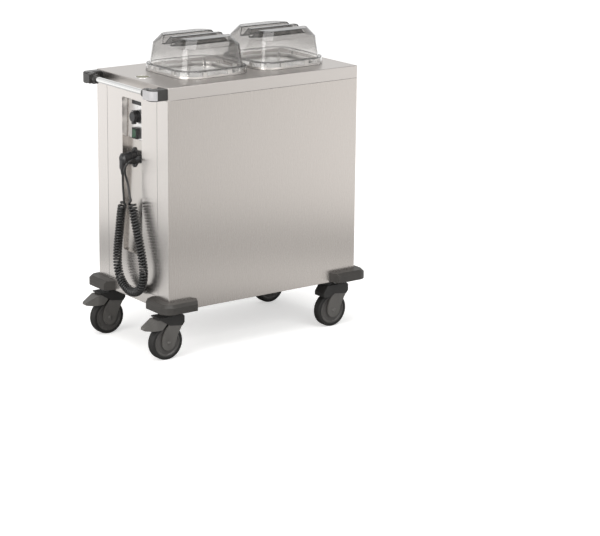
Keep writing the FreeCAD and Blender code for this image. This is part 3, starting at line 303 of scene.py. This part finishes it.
def new_material(name):
    """An empty node tree with one principled shader that reaches its output."""
    material = bpy.data.materials.new(name)
    material.use_nodes = True
    tree = material.node_tree
    tree.nodes.clear()
    out = tree.nodes.new("ShaderNodeOutputMaterial")
    shader = tree.nodes.new("ShaderNodeBsdfPrincipled")
    tree.links.new(shader.outputs["BSDF"], out.inputs["Surface"])
    return material, tree, shader


def noise(tree, scale, stretch=EVEN, detail=3.0, roughness=0.5):
    """Noise in the object's own coordinates, stretched where a grain runs one way."""
    place = tree.nodes.new("ShaderNodeTexCoord")
    mapping = tree.nodes.new("ShaderNodeMapping")
    mapping.inputs["Scale"].default_value = stretch
    texture = tree.nodes.new("ShaderNodeTexNoise")
    texture.inputs["Scale"].default_value = scale
    texture.inputs["Detail"].default_value = detail
    texture.inputs["Roughness"].default_value = roughness
    tree.links.new(place.outputs["Object"], mapping.inputs["Vector"])
    tree.links.new(mapping.outputs["Vector"], texture.inputs["Vector"])
    return texture.outputs["Fac"]


def remap(tree, value, low, high, from_low=0.3, from_high=0.7):
    """The value stretched to run from low to high; noise lies mostly between 0.3 and 0.7."""
    node = tree.nodes.new("ShaderNodeMapRange")
    node.inputs["From Min"].default_value = from_low
    node.inputs["From Max"].default_value = from_high
    node.inputs["To Min"].default_value = low
    node.inputs["To Max"].default_value = high
    tree.links.new(value, node.inputs["Value"])
    return node.outputs["Result"]


def mix_colors(tree, factor, a, b):
    """Colour that goes from a to b, each a plain colour or a socket, as the factor rises."""
    node = tree.nodes.new("ShaderNodeMix")
    node.data_type = "RGBA"
    for name, value in (("A", a), ("B", b)):
        socket = [s for s in node.inputs if s.name == name and s.type == "RGBA"][0]
        if isinstance(value, bpy.types.NodeSocket):
            tree.links.new(value, socket)
        else:
            socket.default_value = (*value, 1.0)
    tree.links.new(factor, node.inputs["Factor"])
    return [s for s in node.outputs if s.type == "RGBA"][0]


def bump(tree, shader, height, strength, distance, edge):
    """Bump from a height, over edges rounded by the given radius."""
    node = tree.nodes.new("ShaderNodeBump")
    node.inputs["Strength"].default_value = strength
    node.inputs["Distance"].default_value = distance
    tree.links.new(height, node.inputs["Height"])
    bevel = tree.nodes.new("ShaderNodeBevel")
    bevel.samples = 4
    bevel.inputs["Radius"].default_value = edge
    tree.links.new(bevel.outputs["Normal"], node.inputs["Normal"])
    tree.links.new(node.outputs["Normal"], shader.inputs["Normal"])


def steel(name, dark, light, rough, stretch, grain=900.0, strength=0.1, edge=0.0015, across=0.0):
    """Brushed sheet: a fine grain that runs one way, and slow cloudy changes under it.

    Where across is set, reflections also spread sideways over an upright grain.
    """
    material, tree, shader = new_material(name)
    fine = noise(tree, grain, stretch, 2.0, 0.6)
    cloud = noise(tree, 2.2, (1.0, 1.0, 0.5), 2.0, 0.5)
    streak = mix_colors(tree, remap(tree, fine, 0.0, 1.0), dark, light)
    patch = mix_colors(tree, remap(tree, cloud, 0.0, 0.35), streak, light)
    tree.links.new(patch, shader.inputs["Base Color"])
    tree.links.new(remap(tree, fine, rough - 0.015, rough + 0.02), shader.inputs["Roughness"])
    shader.inputs["Metallic"].default_value = 1.0
    if across:
        shader.inputs["Anisotropic"].default_value = across
        tangent = tree.nodes.new("ShaderNodeTangent")
        tangent.direction_type = "RADIAL"
        tangent.axis = "Z"
        tree.links.new(tangent.outputs["Tangent"], shader.inputs["Tangent"])
    bump(tree, shader, fine, strength, GRAIN_DEPTH, edge)
    return material


def plastic(name, dark, light, rough, grain=1400.0, strength=0.25, coat=0.0, edge=0.001):
    """Moulded plastic or rubber: a fine spark-eroded grain and faint flow marks."""
    material, tree, shader = new_material(name)
    fine = noise(tree, grain, EVEN, 3.0, 0.6)
    flow = noise(tree, 18.0, (1.0, 1.0, 0.4), 3.0, 0.55)
    tone = mix_colors(tree, remap(tree, flow, 0.0, 1.0), dark, light)
    tree.links.new(tone, shader.inputs["Base Color"])
    tree.links.new(remap(tree, flow, rough - 0.05, rough + 0.07), shader.inputs["Roughness"])
    shader.inputs["Coat Weight"].default_value = coat
    shader.inputs["Coat Roughness"].default_value = 0.15
    bump(tree, shader, fine, strength, GRAIN_DEPTH, edge)
    return material


def crease(tree):
    """Mask for painted shade along creases: 1 where the surface turns sharply within the bevel's radius,
    0 where it is flat.
    """
    place = tree.nodes.new("ShaderNodeNewGeometry")
    rounded = tree.nodes.new("ShaderNodeBevel")
    rounded.samples = 8
    rounded.inputs["Radius"].default_value = CREASE_RADIUS
    turned = tree.nodes.new("ShaderNodeVectorMath")
    turned.operation = "DOT_PRODUCT"
    tree.links.new(rounded.outputs["Normal"], turned.inputs[0])
    tree.links.new(place.outputs["Normal"], turned.inputs[1])
    return remap(tree, turned.outputs["Value"], 1.0, 0.0, 0.88, 0.985)


def edge_on(tree):
    """1 where a wall is seen along its surface, 0 where it is seen from the front."""
    weight = tree.nodes.new("ShaderNodeLayerWeight")
    weight.inputs["Blend"].default_value = 0.4
    return remap(tree, weight.outputs["Facing"], 0.0, 1.0, 0.40, 0.92)


def clear_plastic(name, low, high, rim, rough=0.03):
    """Smoky clear moulding: paler at its foot as painted glare, with painted shade along creases, and
    darker where a wall is seen edge on.
    """
    material, tree, shader = new_material(name)
    ripple = noise(tree, 9.0, EVEN, 2.0, 0.5)
    haze = noise(tree, 60.0, EVEN, 3.0, 0.6)
    place = tree.nodes.new("ShaderNodeNewGeometry")
    split = tree.nodes.new("ShaderNodeSeparateXYZ")
    tree.links.new(place.outputs["Position"], split.inputs[0])
    # below the first height the hood is paler, a painted glare; above the second it has its full smoky
    # tint
    up = remap(tree, split.outputs["Z"], 0.0, 1.0, DECK + HOOD_PAINTED_GLARE_TO, DECK + HOOD_FULL_SMOKE_FROM)
    smoke_and_painted_glare = mix_colors(tree, up, low, high)
    edges = tree.nodes.new("ShaderNodeMath")
    edges.operation = "MAXIMUM"
    tree.links.new(edge_on(tree), edges.inputs[0])
    tree.links.new(crease(tree), edges.inputs[1])
    # the rim colour is painted shade along creases, and the smoke's own darkness where a wall is seen
    # edge on
    tree.links.new(mix_colors(tree, edges.outputs[0], smoke_and_painted_glare, rim), shader.inputs["Base Color"])
    tree.links.new(remap(tree, haze, rough, rough + 0.04), shader.inputs["Roughness"])
    shader.inputs["Transmission Weight"].default_value = 1.0
    shader.inputs["IOR"].default_value = HOOD_IOR
    bump(tree, shader, ripple, 0.08, 0.002, 0.003)
    path = tree.nodes.new("ShaderNodeLightPath")
    through = tree.nodes.new("ShaderNodeBsdfTransparent")
    through.inputs["Color"].default_value = (0.86, 0.86, 0.86, 1.0)
    mixed = tree.nodes.new("ShaderNodeMixShader")
    out = [n for n in tree.nodes if n.type == "OUTPUT_MATERIAL"][0]
    tree.links.new(path.outputs["Is Shadow Ray"], mixed.inputs[0])
    tree.links.new(shader.outputs["BSDF"], mixed.inputs[1])
    tree.links.new(through.outputs["BSDF"], mixed.inputs[2])
    tree.links.new(mixed.outputs["Shader"], out.inputs["Surface"])
    return material


def make_materials():
    """Every material by its key. Steels have a dark and a light tone, a roughness and a grain."""
    return {
        # panel and end are one steel in two tones: panel a shaded copy with painted shade, end a lit
        # copy with painted light
        "panel": steel("panel_steel_shaded_copy", (0.555, 0.518, 0.487), (0.570, 0.532, 0.501), 0.26, UPRIGHT,
                       across=0.6, strength=0.02),
        "end": steel("end_steel_lit_copy", (0.710, 0.675, 0.648), (0.730, 0.695, 0.667), 0.24, UPRIGHT,
                     across=0.8, strength=0.02),
        # recess is a darker copy of the end steel: painted shade in the recess
        "recess": steel("recess_steel_painted_shade", (0.56, 0.53, 0.50), (0.60, 0.57, 0.54), 0.20, UPRIGHT,
                        across=0.6, strength=0.02),
        "deck": steel("deck_steel", (0.565, 0.532, 0.505), (0.590, 0.556, 0.529), 0.34, ALONG,
                      strength=0.04),
        "plate": steel("plate_steel", (0.80, 0.79, 0.78), (0.88, 0.87, 0.86), 0.30, ALONG),
        "inner": steel("inner_steel", (0.50, 0.50, 0.49), (0.60, 0.60, 0.59), 0.38, UPRIGHT),
        "bright": steel("bright_steel", (0.80, 0.80, 0.79), (0.88, 0.88, 0.87), 0.10, ALONG, 400.0,
                        0.03),
        "platform": steel("platform_steel", (0.90, 0.90, 0.89), (0.96, 0.96, 0.95), 0.16, EVEN,
                          300.0, 0.05),
        "plated": steel("plated_steel", (0.50, 0.50, 0.49), (0.62, 0.62, 0.60), 0.35, EVEN, 500.0),
        "dark": plastic("dark_plastic", (0.010, 0.010, 0.011), (0.022, 0.022, 0.023), 0.34),
        "head": plastic("castor_head", (0.010, 0.009, 0.008), (0.020, 0.019, 0.018), 0.50),
        "bumper": plastic("bumper_rubber", (0.026, 0.024, 0.021), (0.044, 0.040, 0.036), 0.46,
                          900.0, 0.35, edge=0.002),
        "bracket": plastic("bracket_plastic", (0.022, 0.021, 0.020), (0.040, 0.038, 0.036), 0.30,
                           edge=0.002),
        "castor": plastic("castor_plastic", (0.082, 0.078, 0.073), (0.115, 0.110, 0.103), 0.36),
        "core": plastic("core_plastic", (0.060, 0.057, 0.054), (0.085, 0.081, 0.077), 0.38),
        "tyre": plastic("tyre_rubber", (0.007, 0.007, 0.006), (0.015, 0.014, 0.013), 0.62, 700.0,
                        0.4, edge=0.0008),
        "inlay": plastic("inlay_plastic", (0.42, 0.415, 0.425), (0.52, 0.515, 0.525), 0.24,
                         strength=0.1, coat=0.3),
        "gloss": plastic("gloss_black", (0.010, 0.010, 0.011), (0.018, 0.018, 0.020), 0.30,
                         strength=0.03),
        "green": plastic("switch_green", (0.002, 0.045, 0.015), (0.005, 0.075, 0.026), 0.32, 900.0,
                         0.05),
        "print": plastic("print_ink", (0.035, 0.035, 0.037), (0.060, 0.060, 0.063), 0.55),
        "mark": plastic("mark_white", (0.72, 0.72, 0.70), (0.82, 0.82, 0.80), 0.45),
        "olive": plastic("olive_enamel", (0.105, 0.098, 0.050), (0.160, 0.150, 0.085), 0.35, 900.0,
                         0.1),
        "cord": plastic("cord_rubber", (0.006, 0.006, 0.006), (0.014, 0.014, 0.014), 0.26, 1800.0,
                        0.2, 0.1),
        # first tone: painted glare at the foot; second: the smoky tint; third: painted shade along
        # creases and edge-on walls
        "hood": clear_plastic("smoky_clear", (0.86, 0.85, 0.84), (0.54, 0.53, 0.52),
                              (0.02, 0.018, 0.016)),
        # dark strips painted as the shadow in the panel seams
        "painted_seam_shadow": plastic("seam_shadow", (0.16, 0.155, 0.15), (0.20, 0.195, 0.19), 0.6),
    }


def node_materials():
    """Which material each CAD node wears."""
    worn = {
        "side_panel_front": "panel", "side_panel_back": "panel", "control_end_panel": "end",
        "far_end_panel": "end", "top_deck": "deck", "base_frame": "end", "control_plate": "plate",
        "push_handle_tube": "bright", "handle_bracket_front": "bracket",
        "handle_bracket_back": "bracket", "handle_inlays": "inlay", "display_plate": "gloss",
        "thermostat_body": "dark", "thermostat_knob": "dark", "switch_housing": "dark",
        "rocker_switch": "green", "parking_socket": "dark", "cable_gland": "dark",
        "cord_plug": "dark", "fan_heater": "inner", "frame_bolts": "plated",
    }
    for k in (1, 2):
        worn["well_shaft_%d" % k] = "inner"
        worn["well_collar_%d" % k] = "plate"
        worn["guide_rods_%d" % k] = "bright"
        worn["lift_springs_%d" % k] = "plated"
        worn["plate_platform_%d" % k] = "platform"
        worn["hood_%d" % k] = "hood"
    for corner in CORNERS:
        worn["bumper_" + corner] = "bumper"
        worn["castor_mount_" + corner] = "plated"
        worn["castor_fork_" + corner] = "castor"
        worn["castor_wheel_" + corner] = "core"
        worn["castor_tyre_" + corner] = "tyre"
    for side in ("front", "back"):
        worn["brake_pedal_" + side] = "castor"
    return worn


def dress_nodes(materials):
    """Give each CAD node its material, and a second one where part of it looks different."""
    for name, key in node_materials().items():
        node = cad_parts[name]
        node.data.materials.clear()
        node.data.materials.append(materials[key])
    for corner in CORNERS:
        dress_fork(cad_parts["castor_fork_" + corner], corner, materials["head"])
    dress_recess(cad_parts["control_end_panel"], materials["recess"])
    for side in ("front", "back"):
        dress_return(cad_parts["side_panel_" + side], materials["end"])
    dress_back_inlay(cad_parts["handle_inlays"], materials["bracket"])


def castor_place(corner):
    """Where a castor's kingpin stands."""
    end, side = corner.split("_")
    x = HANDLE_END + CASTOR_INSET[0] if end == "near" else FAR_END - CASTOR_INSET[0]
    y = HALF_WIDTH - CASTOR_INSET[1] if side == "back" else CASTOR_INSET[1] - HALF_WIDTH
    return x, y


def dress_fork(node, corner, head_material):
    """All of the fork but its two legs is the castor's head, which is darker."""
    middle = castor_place(corner)[1]
    mesh = node.data
    mesh.materials.append(head_material)
    for polygon in mesh.polygons:
        points = [mesh.vertices[k].co for k in polygon.vertices]
        out = [p.y - middle for p in points]
        one_side = min(out) * max(out) > 0
        among_legs = all(FORK_LEG[0] < abs(d) < FORK_LEG[1] for d in out)
        leg = one_side and among_legs and max(p.z for p in points) < FORK_LEG_TOP
        polygon.material_index = 0 if leg else 1


def dress_recess(node, material):
    """The recess's floor and walls stand behind the end panel's outer face, and wear a darker copy of
    its steel: painted shade in the recess.
    """
    mesh = node.data
    mesh.materials.append(material)
    for polygon in mesh.polygons:
        middle = polygon.center
        inside = abs(middle.y) < RECESS_HALF and RECESS_BOTTOM < middle.z < RECESS_TOP
        if inside and middle.x > HANDLE_END + PANEL_SKIN:
            polygon.material_index = 1


def dress_return(node, material):
    """The folded ends of a side panel wear the end panels' lighter copy of the same steel: painted light
    on the faces that turn to the ends.
    """
    mesh = node.data
    mesh.materials.append(material)
    for polygon in mesh.polygons:
        if abs(polygon.normal.x) > 0.9:
            polygon.material_index = 1


def dress_back_inlay(node, material):
    """Only the front bracket's inlay is pale."""
    mesh = node.data
    mesh.materials.append(material)
    for polygon in mesh.polygons:
        if polygon.center.y > 0:
            polygon.material_index = 1


# ---------------------------------------------------------------- added pieces

def add_piece(name, mesh, body, slot, *materials):
    """Put a mesh in the scene on its body; several materials go to its faces' slots in order."""
    for material in materials:
        mesh.materials.append(material)
    piece = bpy.data.objects.new(name, mesh)
    bpy.context.scene.collection.objects.link(piece)
    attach(piece, body)


def facing(place, out):
    """Frame at a place whose Z looks out of a surface and whose Y looks up it."""
    z = Vector(out).normalized()
    x = UP.cross(z).normalized()
    y = z.cross(x)
    return Matrix.Translation(place) @ Matrix((x, y, z)).transposed().to_4x4()


def lathe(name, profile, place, steps, second=None):
    """Mesh turned from (radius, height) points about a place's Z; bands from second on get slot 1."""
    mesh = bpy.data.meshes.new(name)
    work = bmesh.new()
    rings = []
    for radius, height in profile:
        angles = [2 * math.pi * k / steps for k in range(steps if radius else 1)]
        spots = [Vector((radius * math.cos(a), radius * math.sin(a), height)) for a in angles]
        rings.append([work.verts.new(place @ spot) for spot in spots])
    for number, (low, high) in enumerate(zip(rings, rings[1:])):
        for k in range(steps):
            quad = [low[k % len(low)], low[(k + 1) % len(low)],
                    high[(k + 1) % len(high)], high[k % len(high)]]
            face = work.faces.new(list(dict.fromkeys(quad)))
            face.smooth = True
            if second is not None and number >= second:
                face.material_index = 1
    bmesh.ops.recalc_face_normals(work, faces=work.faces)
    work.to_mesh(mesh)
    work.free()
    mesh.set_sharp_from_angle(angle=math.radians(35))
    return mesh


def bars(name, places, size, soft):
    """Mesh of small bars with softened edges, one at each place."""
    mesh = bpy.data.meshes.new(name)
    work = bmesh.new()
    for place in places:
        made = bmesh.ops.create_cube(work, size=1.0, matrix=place @ Matrix.Diagonal((*size, 1.0)))
        edges = {edge for vertex in made["verts"] for edge in vertex.link_edges}
        bmesh.ops.bevel(work, geom=list(edges), offset=soft, segments=2, affect="EDGES", profile=0.5)
    work.to_mesh(mesh)
    work.free()
    return mesh


def on_recess_floor(y, z, out=0.0):
    """Frame on the leaning recess floor, raised out of it by a distance."""
    lean = math.atan(RECESS_LEAN)
    normal = Vector((-math.cos(lean), 0.0, math.sin(lean)))
    depth = RECESS_DEPTH_BOTTOM + (z - RECESS_BOTTOM) * RECESS_LEAN
    return facing(Vector((HANDLE_END + depth, y, z)) + normal * out, normal)


def screw_profile(radius):
    """Domed head with a round socket sunk in its middle."""
    return [(radius, -0.0002), (radius, radius * 0.25), (radius * 0.85, radius * 0.5),
            (radius * 0.5, radius * 0.62), (radius * 0.42, radius * 0.62), (radius * 0.38, radius * 0.2),
            (0.0, radius * 0.2)]


def make_deck_disc(materials):
    """Plain round plug in the deck between the handle and the first well."""
    rim = [(0.0265, -0.0001), (0.0265, 0.0008), (0.0256, 0.0014), (0.0240, 0.0014), (0.0233, 0.0008)]
    face = [(0.0230, 0.0005), (0.0150, 0.0009), (0.0, 0.0010)]
    place = Matrix.Translation((HANDLE_END + DECK_PLUG_INSET, 0.0, DECK))
    mesh = lathe("deck_plug", rim + face, place, steps=56, second=len(rim) - 1)
    add_piece("deck_plug", mesh, "cabinet", "deck_steel", materials["plate"], materials["olive"])


def make_seams(materials):
    """Dark strips over the joints between the end panels and the side panels' folded ends: painted
    shadow of the gaps.
    """
    middle = (SEAM_BOTTOM + PANEL_TOP) / 2
    places = [Matrix.Translation((x, side * RETURN_EDGE, middle))
              for x in (HANDLE_END, FAR_END) for side in (-1, 1)]
    mesh = bars("panel_seam_shadows", places, (SEAM_PROUD, SEAM_WIDTH, PANEL_TOP - SEAM_BOTTOM), 0.0001)
    add_piece("panel_seam_shadows", mesh, "cabinet", "dark_plastic", materials["painted_seam_shadow"])


def make_gasket(materials):
    """Dark sheet behind the control plate whose rim shows as a dark line round it: painted shadow at the
    plate's edge.
    """
    width, height = PLATE_SIZE
    plate = on_recess_floor(0.0, PLATE_MIDDLE)
    size = (width + SHADOW_OUTLINE_RIM, height + SHADOW_OUTLINE_RIM, SHADOW_OUTLINE_THICK)
    # painted shadow round the control plate's edge
    mesh = bars("plate_shadow_outline", [plate], size, 0.0003)
    add_piece("plate_shadow_outline", mesh, "cabinet", "dark_plastic", materials["dark"])


def make_plate_screws(materials):
    """One screw at each corner of the control plate."""
    half_w = PLATE_SIZE[0] / 2 - SCREW_INSET
    half_h = PLATE_SIZE[1] / 2 - SCREW_INSET
    corners = [(across, up) for across in (-half_w, half_w) for up in (-half_h, half_h)]
    for number, (across, up) in enumerate(corners, 1):
        name = "plate_screw_%d" % number
        place = on_recess_floor(across, PLATE_MIDDLE + up, PLATE_THICK)
        mesh = lathe(name, screw_profile(SCREW_RADIUS), place, steps=20)
        add_piece(name, mesh, "cabinet", "plated_steel", materials["plated"])


def make_dial(materials):
    """Ticks and plain numbers printed round the knob, and the pointer on the knob's face."""
    dial = on_recess_floor(0.0, KNOB_HEIGHT, PLATE_THICK + PRINT_THICK)
    ticks = []
    for k in range(TICKS):
        turn = Matrix.Rotation(math.radians(DIAL_START - TICK_STEP * k), 4, "Z")
        ticks.append(dial @ turn @ Matrix.Translation((0.0, TICK_CIRCLE, 0.0)))
    mesh = bars("dial_ticks", ticks, TICK_SIZE, 0.00004)
    add_piece("dial_ticks", mesh, "cabinet", "black_gloss", materials["print"])
    for k in range(NUMBERS):
        angle = math.radians(DIAL_START - NUMBER_STEP * k)
        out = Vector((-NUMBER_CIRCLE * math.sin(angle), NUMBER_CIRCLE * math.cos(angle), 0.0))
        add_digit(str(k), dial @ Matrix.Translation(out), materials["print"])
    knob_top = on_recess_floor(0.0, KNOB_HEIGHT, KNOB_TOP)
    middle = knob_top @ Matrix.Translation((0.0, KNOB_POINTER_MIDDLE, 0.0))
    mesh = bars("knob_pointer", [middle], POINTER_SIZE, 0.0001)
    add_piece("knob_pointer", mesh, "knob", "inlay_pale", materials["mark"])


def add_digit(text, place, material):
    """A printed digit, centred on a place and lying flat on its surface."""
    curve = bpy.data.curves.new("digit", "FONT")
    curve.body = text
    curve.size = NUMBER_HEIGHT
    curve.extrude = PRINT_THICK
    curve.align_x = "CENTER"
    curve.align_y = "CENTER"
    holder = bpy.data.objects.new("digit", curve)
    bpy.context.scene.collection.objects.link(holder)
    bpy.context.view_layer.update()
    mesh = bpy.data.meshes.new_from_object(holder)
    bpy.data.objects.remove(holder)
    mesh.transform(place)
    mesh.name = "dial_number_" + text
    mesh.materials.clear()
    add_piece("dial_number_" + text, mesh, "cabinet", "black_gloss", material)


def make_axle_nuts(materials):
    """Domed nuts on the ends of each axle."""
    profile = [(0.0085, -0.0002), (0.0085, 0.0006), (0.0068, 0.0012), (0.0062, 0.0026),
               (0.0045, 0.0036), (0.0, 0.0040)]
    for corner in CORNERS:
        x, y = castor_place(corner)
        for word, way in (("a", -1), ("b", 1)):
            place = facing((x - TRAIL, y + way * FORK_OUTER, WHEEL_RADIUS), (0.0, way, 0.0))
            name = "axle_nut_%s_%s" % (corner, word)
            mesh = lathe(name, profile, place, steps=24)
            add_piece(name, mesh, "castor_" + corner, "castor_grey", materials["castor"])


# ---------------------------------------------------------------- surroundings

def make_world():
    """White as the eye, metal and glass see it, darker overhead for metal, and plain for the light."""
    world = bpy.data.worlds.new("studio")
    bpy.context.scene.world = world
    world.use_nodes = True
    tree = world.node_tree
    tree.nodes.clear()
    out = tree.nodes.new("ShaderNodeOutputWorld")
    seen = tree.nodes.new("ShaderNodeBackground")
    lit = tree.nodes.new("ShaderNodeBackground")
    seen.inputs["Color"].default_value = (0.985, 0.985, 0.985, 1.0)
    lit.inputs["Color"].default_value = (1.0, 0.99, 0.98, 1.0)
    lit.inputs["Strength"].default_value = WORLD_LIGHT
    path = tree.nodes.new("ShaderNodeLightPath")
    way = tree.nodes.new("ShaderNodeTexCoord")
    split = tree.nodes.new("ShaderNodeSeparateXYZ")
    tree.links.new(way.outputs["Generated"], split.inputs[0])
    ceiling = remap(tree, split.outputs["Z"], 1.0, METAL_CEILING, 0.40, 0.75)
    strength = tree.nodes.new("ShaderNodeMix")
    strength.inputs["A"].default_value = 1.0
    tree.links.new(path.outputs["Is Glossy Ray"], strength.inputs["Factor"])
    tree.links.new(ceiling, strength.inputs["B"])
    tree.links.new(strength.outputs["Result"], seen.inputs["Strength"])
    mixed = tree.nodes.new("ShaderNodeMixShader")
    tree.links.new(seen_by_eye(tree), mixed.inputs[0])
    tree.links.new(lit.outputs[0], mixed.inputs[1])
    tree.links.new(seen.outputs[0], mixed.inputs[2])
    tree.links.new(mixed.outputs[0], out.inputs["Surface"])


def seen_by_eye(tree):
    """1 for rays from the camera, and for those that reach here off metal or through glass."""
    path = tree.nodes.new("ShaderNodeLightPath")
    total = path.outputs["Is Camera Ray"]
    for name in ("Is Glossy Ray", "Is Transmission Ray"):
        add = tree.nodes.new("ShaderNodeMath")
        add.operation = "MAXIMUM"
        tree.links.new(total, add.inputs[0])
        tree.links.new(path.outputs[name], add.inputs[1])
        total = add.outputs[0]
    return total


def glow_by_distance(tree, stops):
    """Strength that follows the distance from the object's middle, as (metres, strength) stops."""
    place = tree.nodes.new("ShaderNodeTexCoord")
    length = tree.nodes.new("ShaderNodeVectorMath")
    length.operation = "LENGTH"
    tree.links.new(place.outputs["Object"], length.inputs[0])
    ramp = tree.nodes.new("ShaderNodeFloatCurve")
    curve = ramp.mapping.curves[0]
    reach = stops[-1][0]
    curve.points[0].location = (stops[0][0] / reach, stops[0][1])
    curve.points[1].location = (1.0, stops[-1][1])
    for distance, strength in stops[1:-1]:
        curve.points.new(distance / reach, strength)
    ramp.mapping.update()
    scaled = tree.nodes.new("ShaderNodeMath")
    scaled.operation = "DIVIDE"
    scaled.use_clamp = True
    scaled.inputs[1].default_value = reach
    tree.links.new(length.outputs["Value"], scaled.inputs[0])
    tree.links.new(scaled.outputs[0], ramp.inputs["Value"])
    return ramp.outputs["Value"]


def sloped(tree, value):
    """The value scaled by a plane over the floor that is 1 at the object's middle."""
    place = tree.nodes.new("ShaderNodeTexCoord")
    plane = tree.nodes.new("ShaderNodeVectorMath")
    plane.operation = "DOT_PRODUCT"
    plane.inputs[1].default_value = (*METAL_SLOPE, 0.0)
    tree.links.new(place.outputs["Object"], plane.inputs[0])
    low, high = METAL_SLOPE_RANGE
    scale = remap(tree, plane.outputs["Value"], low, high, low - 1.0, high - 1.0)
    product = tree.nodes.new("ShaderNodeMath")
    product.operation = "MULTIPLY"
    tree.links.new(scale, product.inputs[0])
    tree.links.new(value, product.inputs[1])
    return product.outputs[0]


def floor_material():
    """Pale paper that keeps the object's shadow and adds its own light for the eye and for metal."""
    material, tree, shader = new_material("floor_paper")
    tone = noise(tree, 2.0)
    color = mix_colors(tree, remap(tree, tone, 0.0, 1.0), (0.90, 0.90, 0.895), (0.91, 0.91, 0.905))
    tree.links.new(color, shader.inputs["Base Color"])
    shader.inputs["Roughness"].default_value = 0.9
    shader.inputs["Specular IOR Level"].default_value = 0.1
    path = tree.nodes.new("ShaderNodeLightPath")
    glow = tree.nodes.new("ShaderNodeEmission")
    glow.inputs["Color"].default_value = (1.0, 0.998, 0.993, 1.0)
    seen = tree.nodes.new("ShaderNodeMix")
    tree.links.new(path.outputs["Is Glossy Ray"], seen.inputs["Factor"])
    tree.links.new(glow_by_distance(tree, EYE_GLOW), seen.inputs["A"])
    tree.links.new(sloped(tree, glow_by_distance(tree, METAL_GLOW)), seen.inputs["B"])
    tree.links.new(seen.outputs["Result"], glow.inputs["Strength"])
    dimmed = tree.nodes.new("ShaderNodeMixShader")
    part = tree.nodes.new("ShaderNodeMath")
    part.operation = "MULTIPLY"
    part.inputs[1].default_value = METAL_DIMS_FLOOR
    tree.links.new(path.outputs["Is Glossy Ray"], part.inputs[0])
    tree.links.new(part.outputs[0], dimmed.inputs[0])
    tree.links.new(shader.outputs["BSDF"], dimmed.inputs[1])
    both = tree.nodes.new("ShaderNodeAddShader")
    tree.links.new(dimmed.outputs["Shader"], both.inputs[0])
    tree.links.new(glow.outputs["Emission"], both.inputs[1])
    mixed = tree.nodes.new("ShaderNodeMixShader")
    out = [n for n in tree.nodes if n.type == "OUTPUT_MATERIAL"][0]
    tree.links.new(seen_by_eye(tree), mixed.inputs[0])
    tree.links.new(shader.outputs["BSDF"], mixed.inputs[1])
    tree.links.new(both.outputs["Shader"], mixed.inputs[2])
    tree.links.new(mixed.outputs["Shader"], out.inputs["Surface"])
    return material


def make_floor():
    reach = FLOOR_REACH
    corners = [(-reach, -reach, 0), (reach, -reach, 0), (reach, reach, 0), (-reach, reach, 0)]
    mesh = bpy.data.meshes.new("floor")
    mesh.from_pydata(corners, [], [(0, 1, 2, 3)])
    mesh.materials.append(floor_material())
    floor = bpy.data.objects.new("floor", mesh)
    bpy.context.scene.collection.objects.link(floor)


def area_light(name, place, target, size, power, color=(1.0, 1.0, 1.0)):
    """Soft box at a place, turned to its target, with its size in metres and its power in watts."""
    data = bpy.data.lights.new(name, "AREA")
    data.shape = "RECTANGLE"
    data.size, data.size_y = size
    data.energy = power
    data.color = color
    light = bpy.data.objects.new(name, data)
    light.location = place
    light.rotation_euler = (Vector(target) - Vector(place)).to_track_quat("-Z", "Y").to_euler()
    bpy.context.scene.collection.objects.link(light)


def make_lights():
    area_light("left_box", (-3.2, -0.9, 1.5), (0.0, 0.0, 0.6), (2.2, 2.2), 62.0, (1.0, 0.985, 0.97))
    area_light("top_box", (-0.4, -0.6, 3.4), (0.0, 0.0, 0.6), (2.6, 2.6), 60.0)
    area_light("front_box", (0.2, -3.4, 2.6), (0.0, 0.0, 0.7), (3.0, 1.4), 42.0)


def make_scene():
    make_camera()
    materials = make_materials()
    make_cord(materials["cord"])
    dress_nodes(materials)
    make_deck_disc(materials)
    make_seams(materials)
    make_gasket(materials)
    make_plate_screws(materials)
    make_dial(materials)
    make_axle_nuts(materials)
    make_world()
    make_floor()
    make_lights()
    bpy.context.scene.view_settings.view_transform = "Standard"


make_scene()
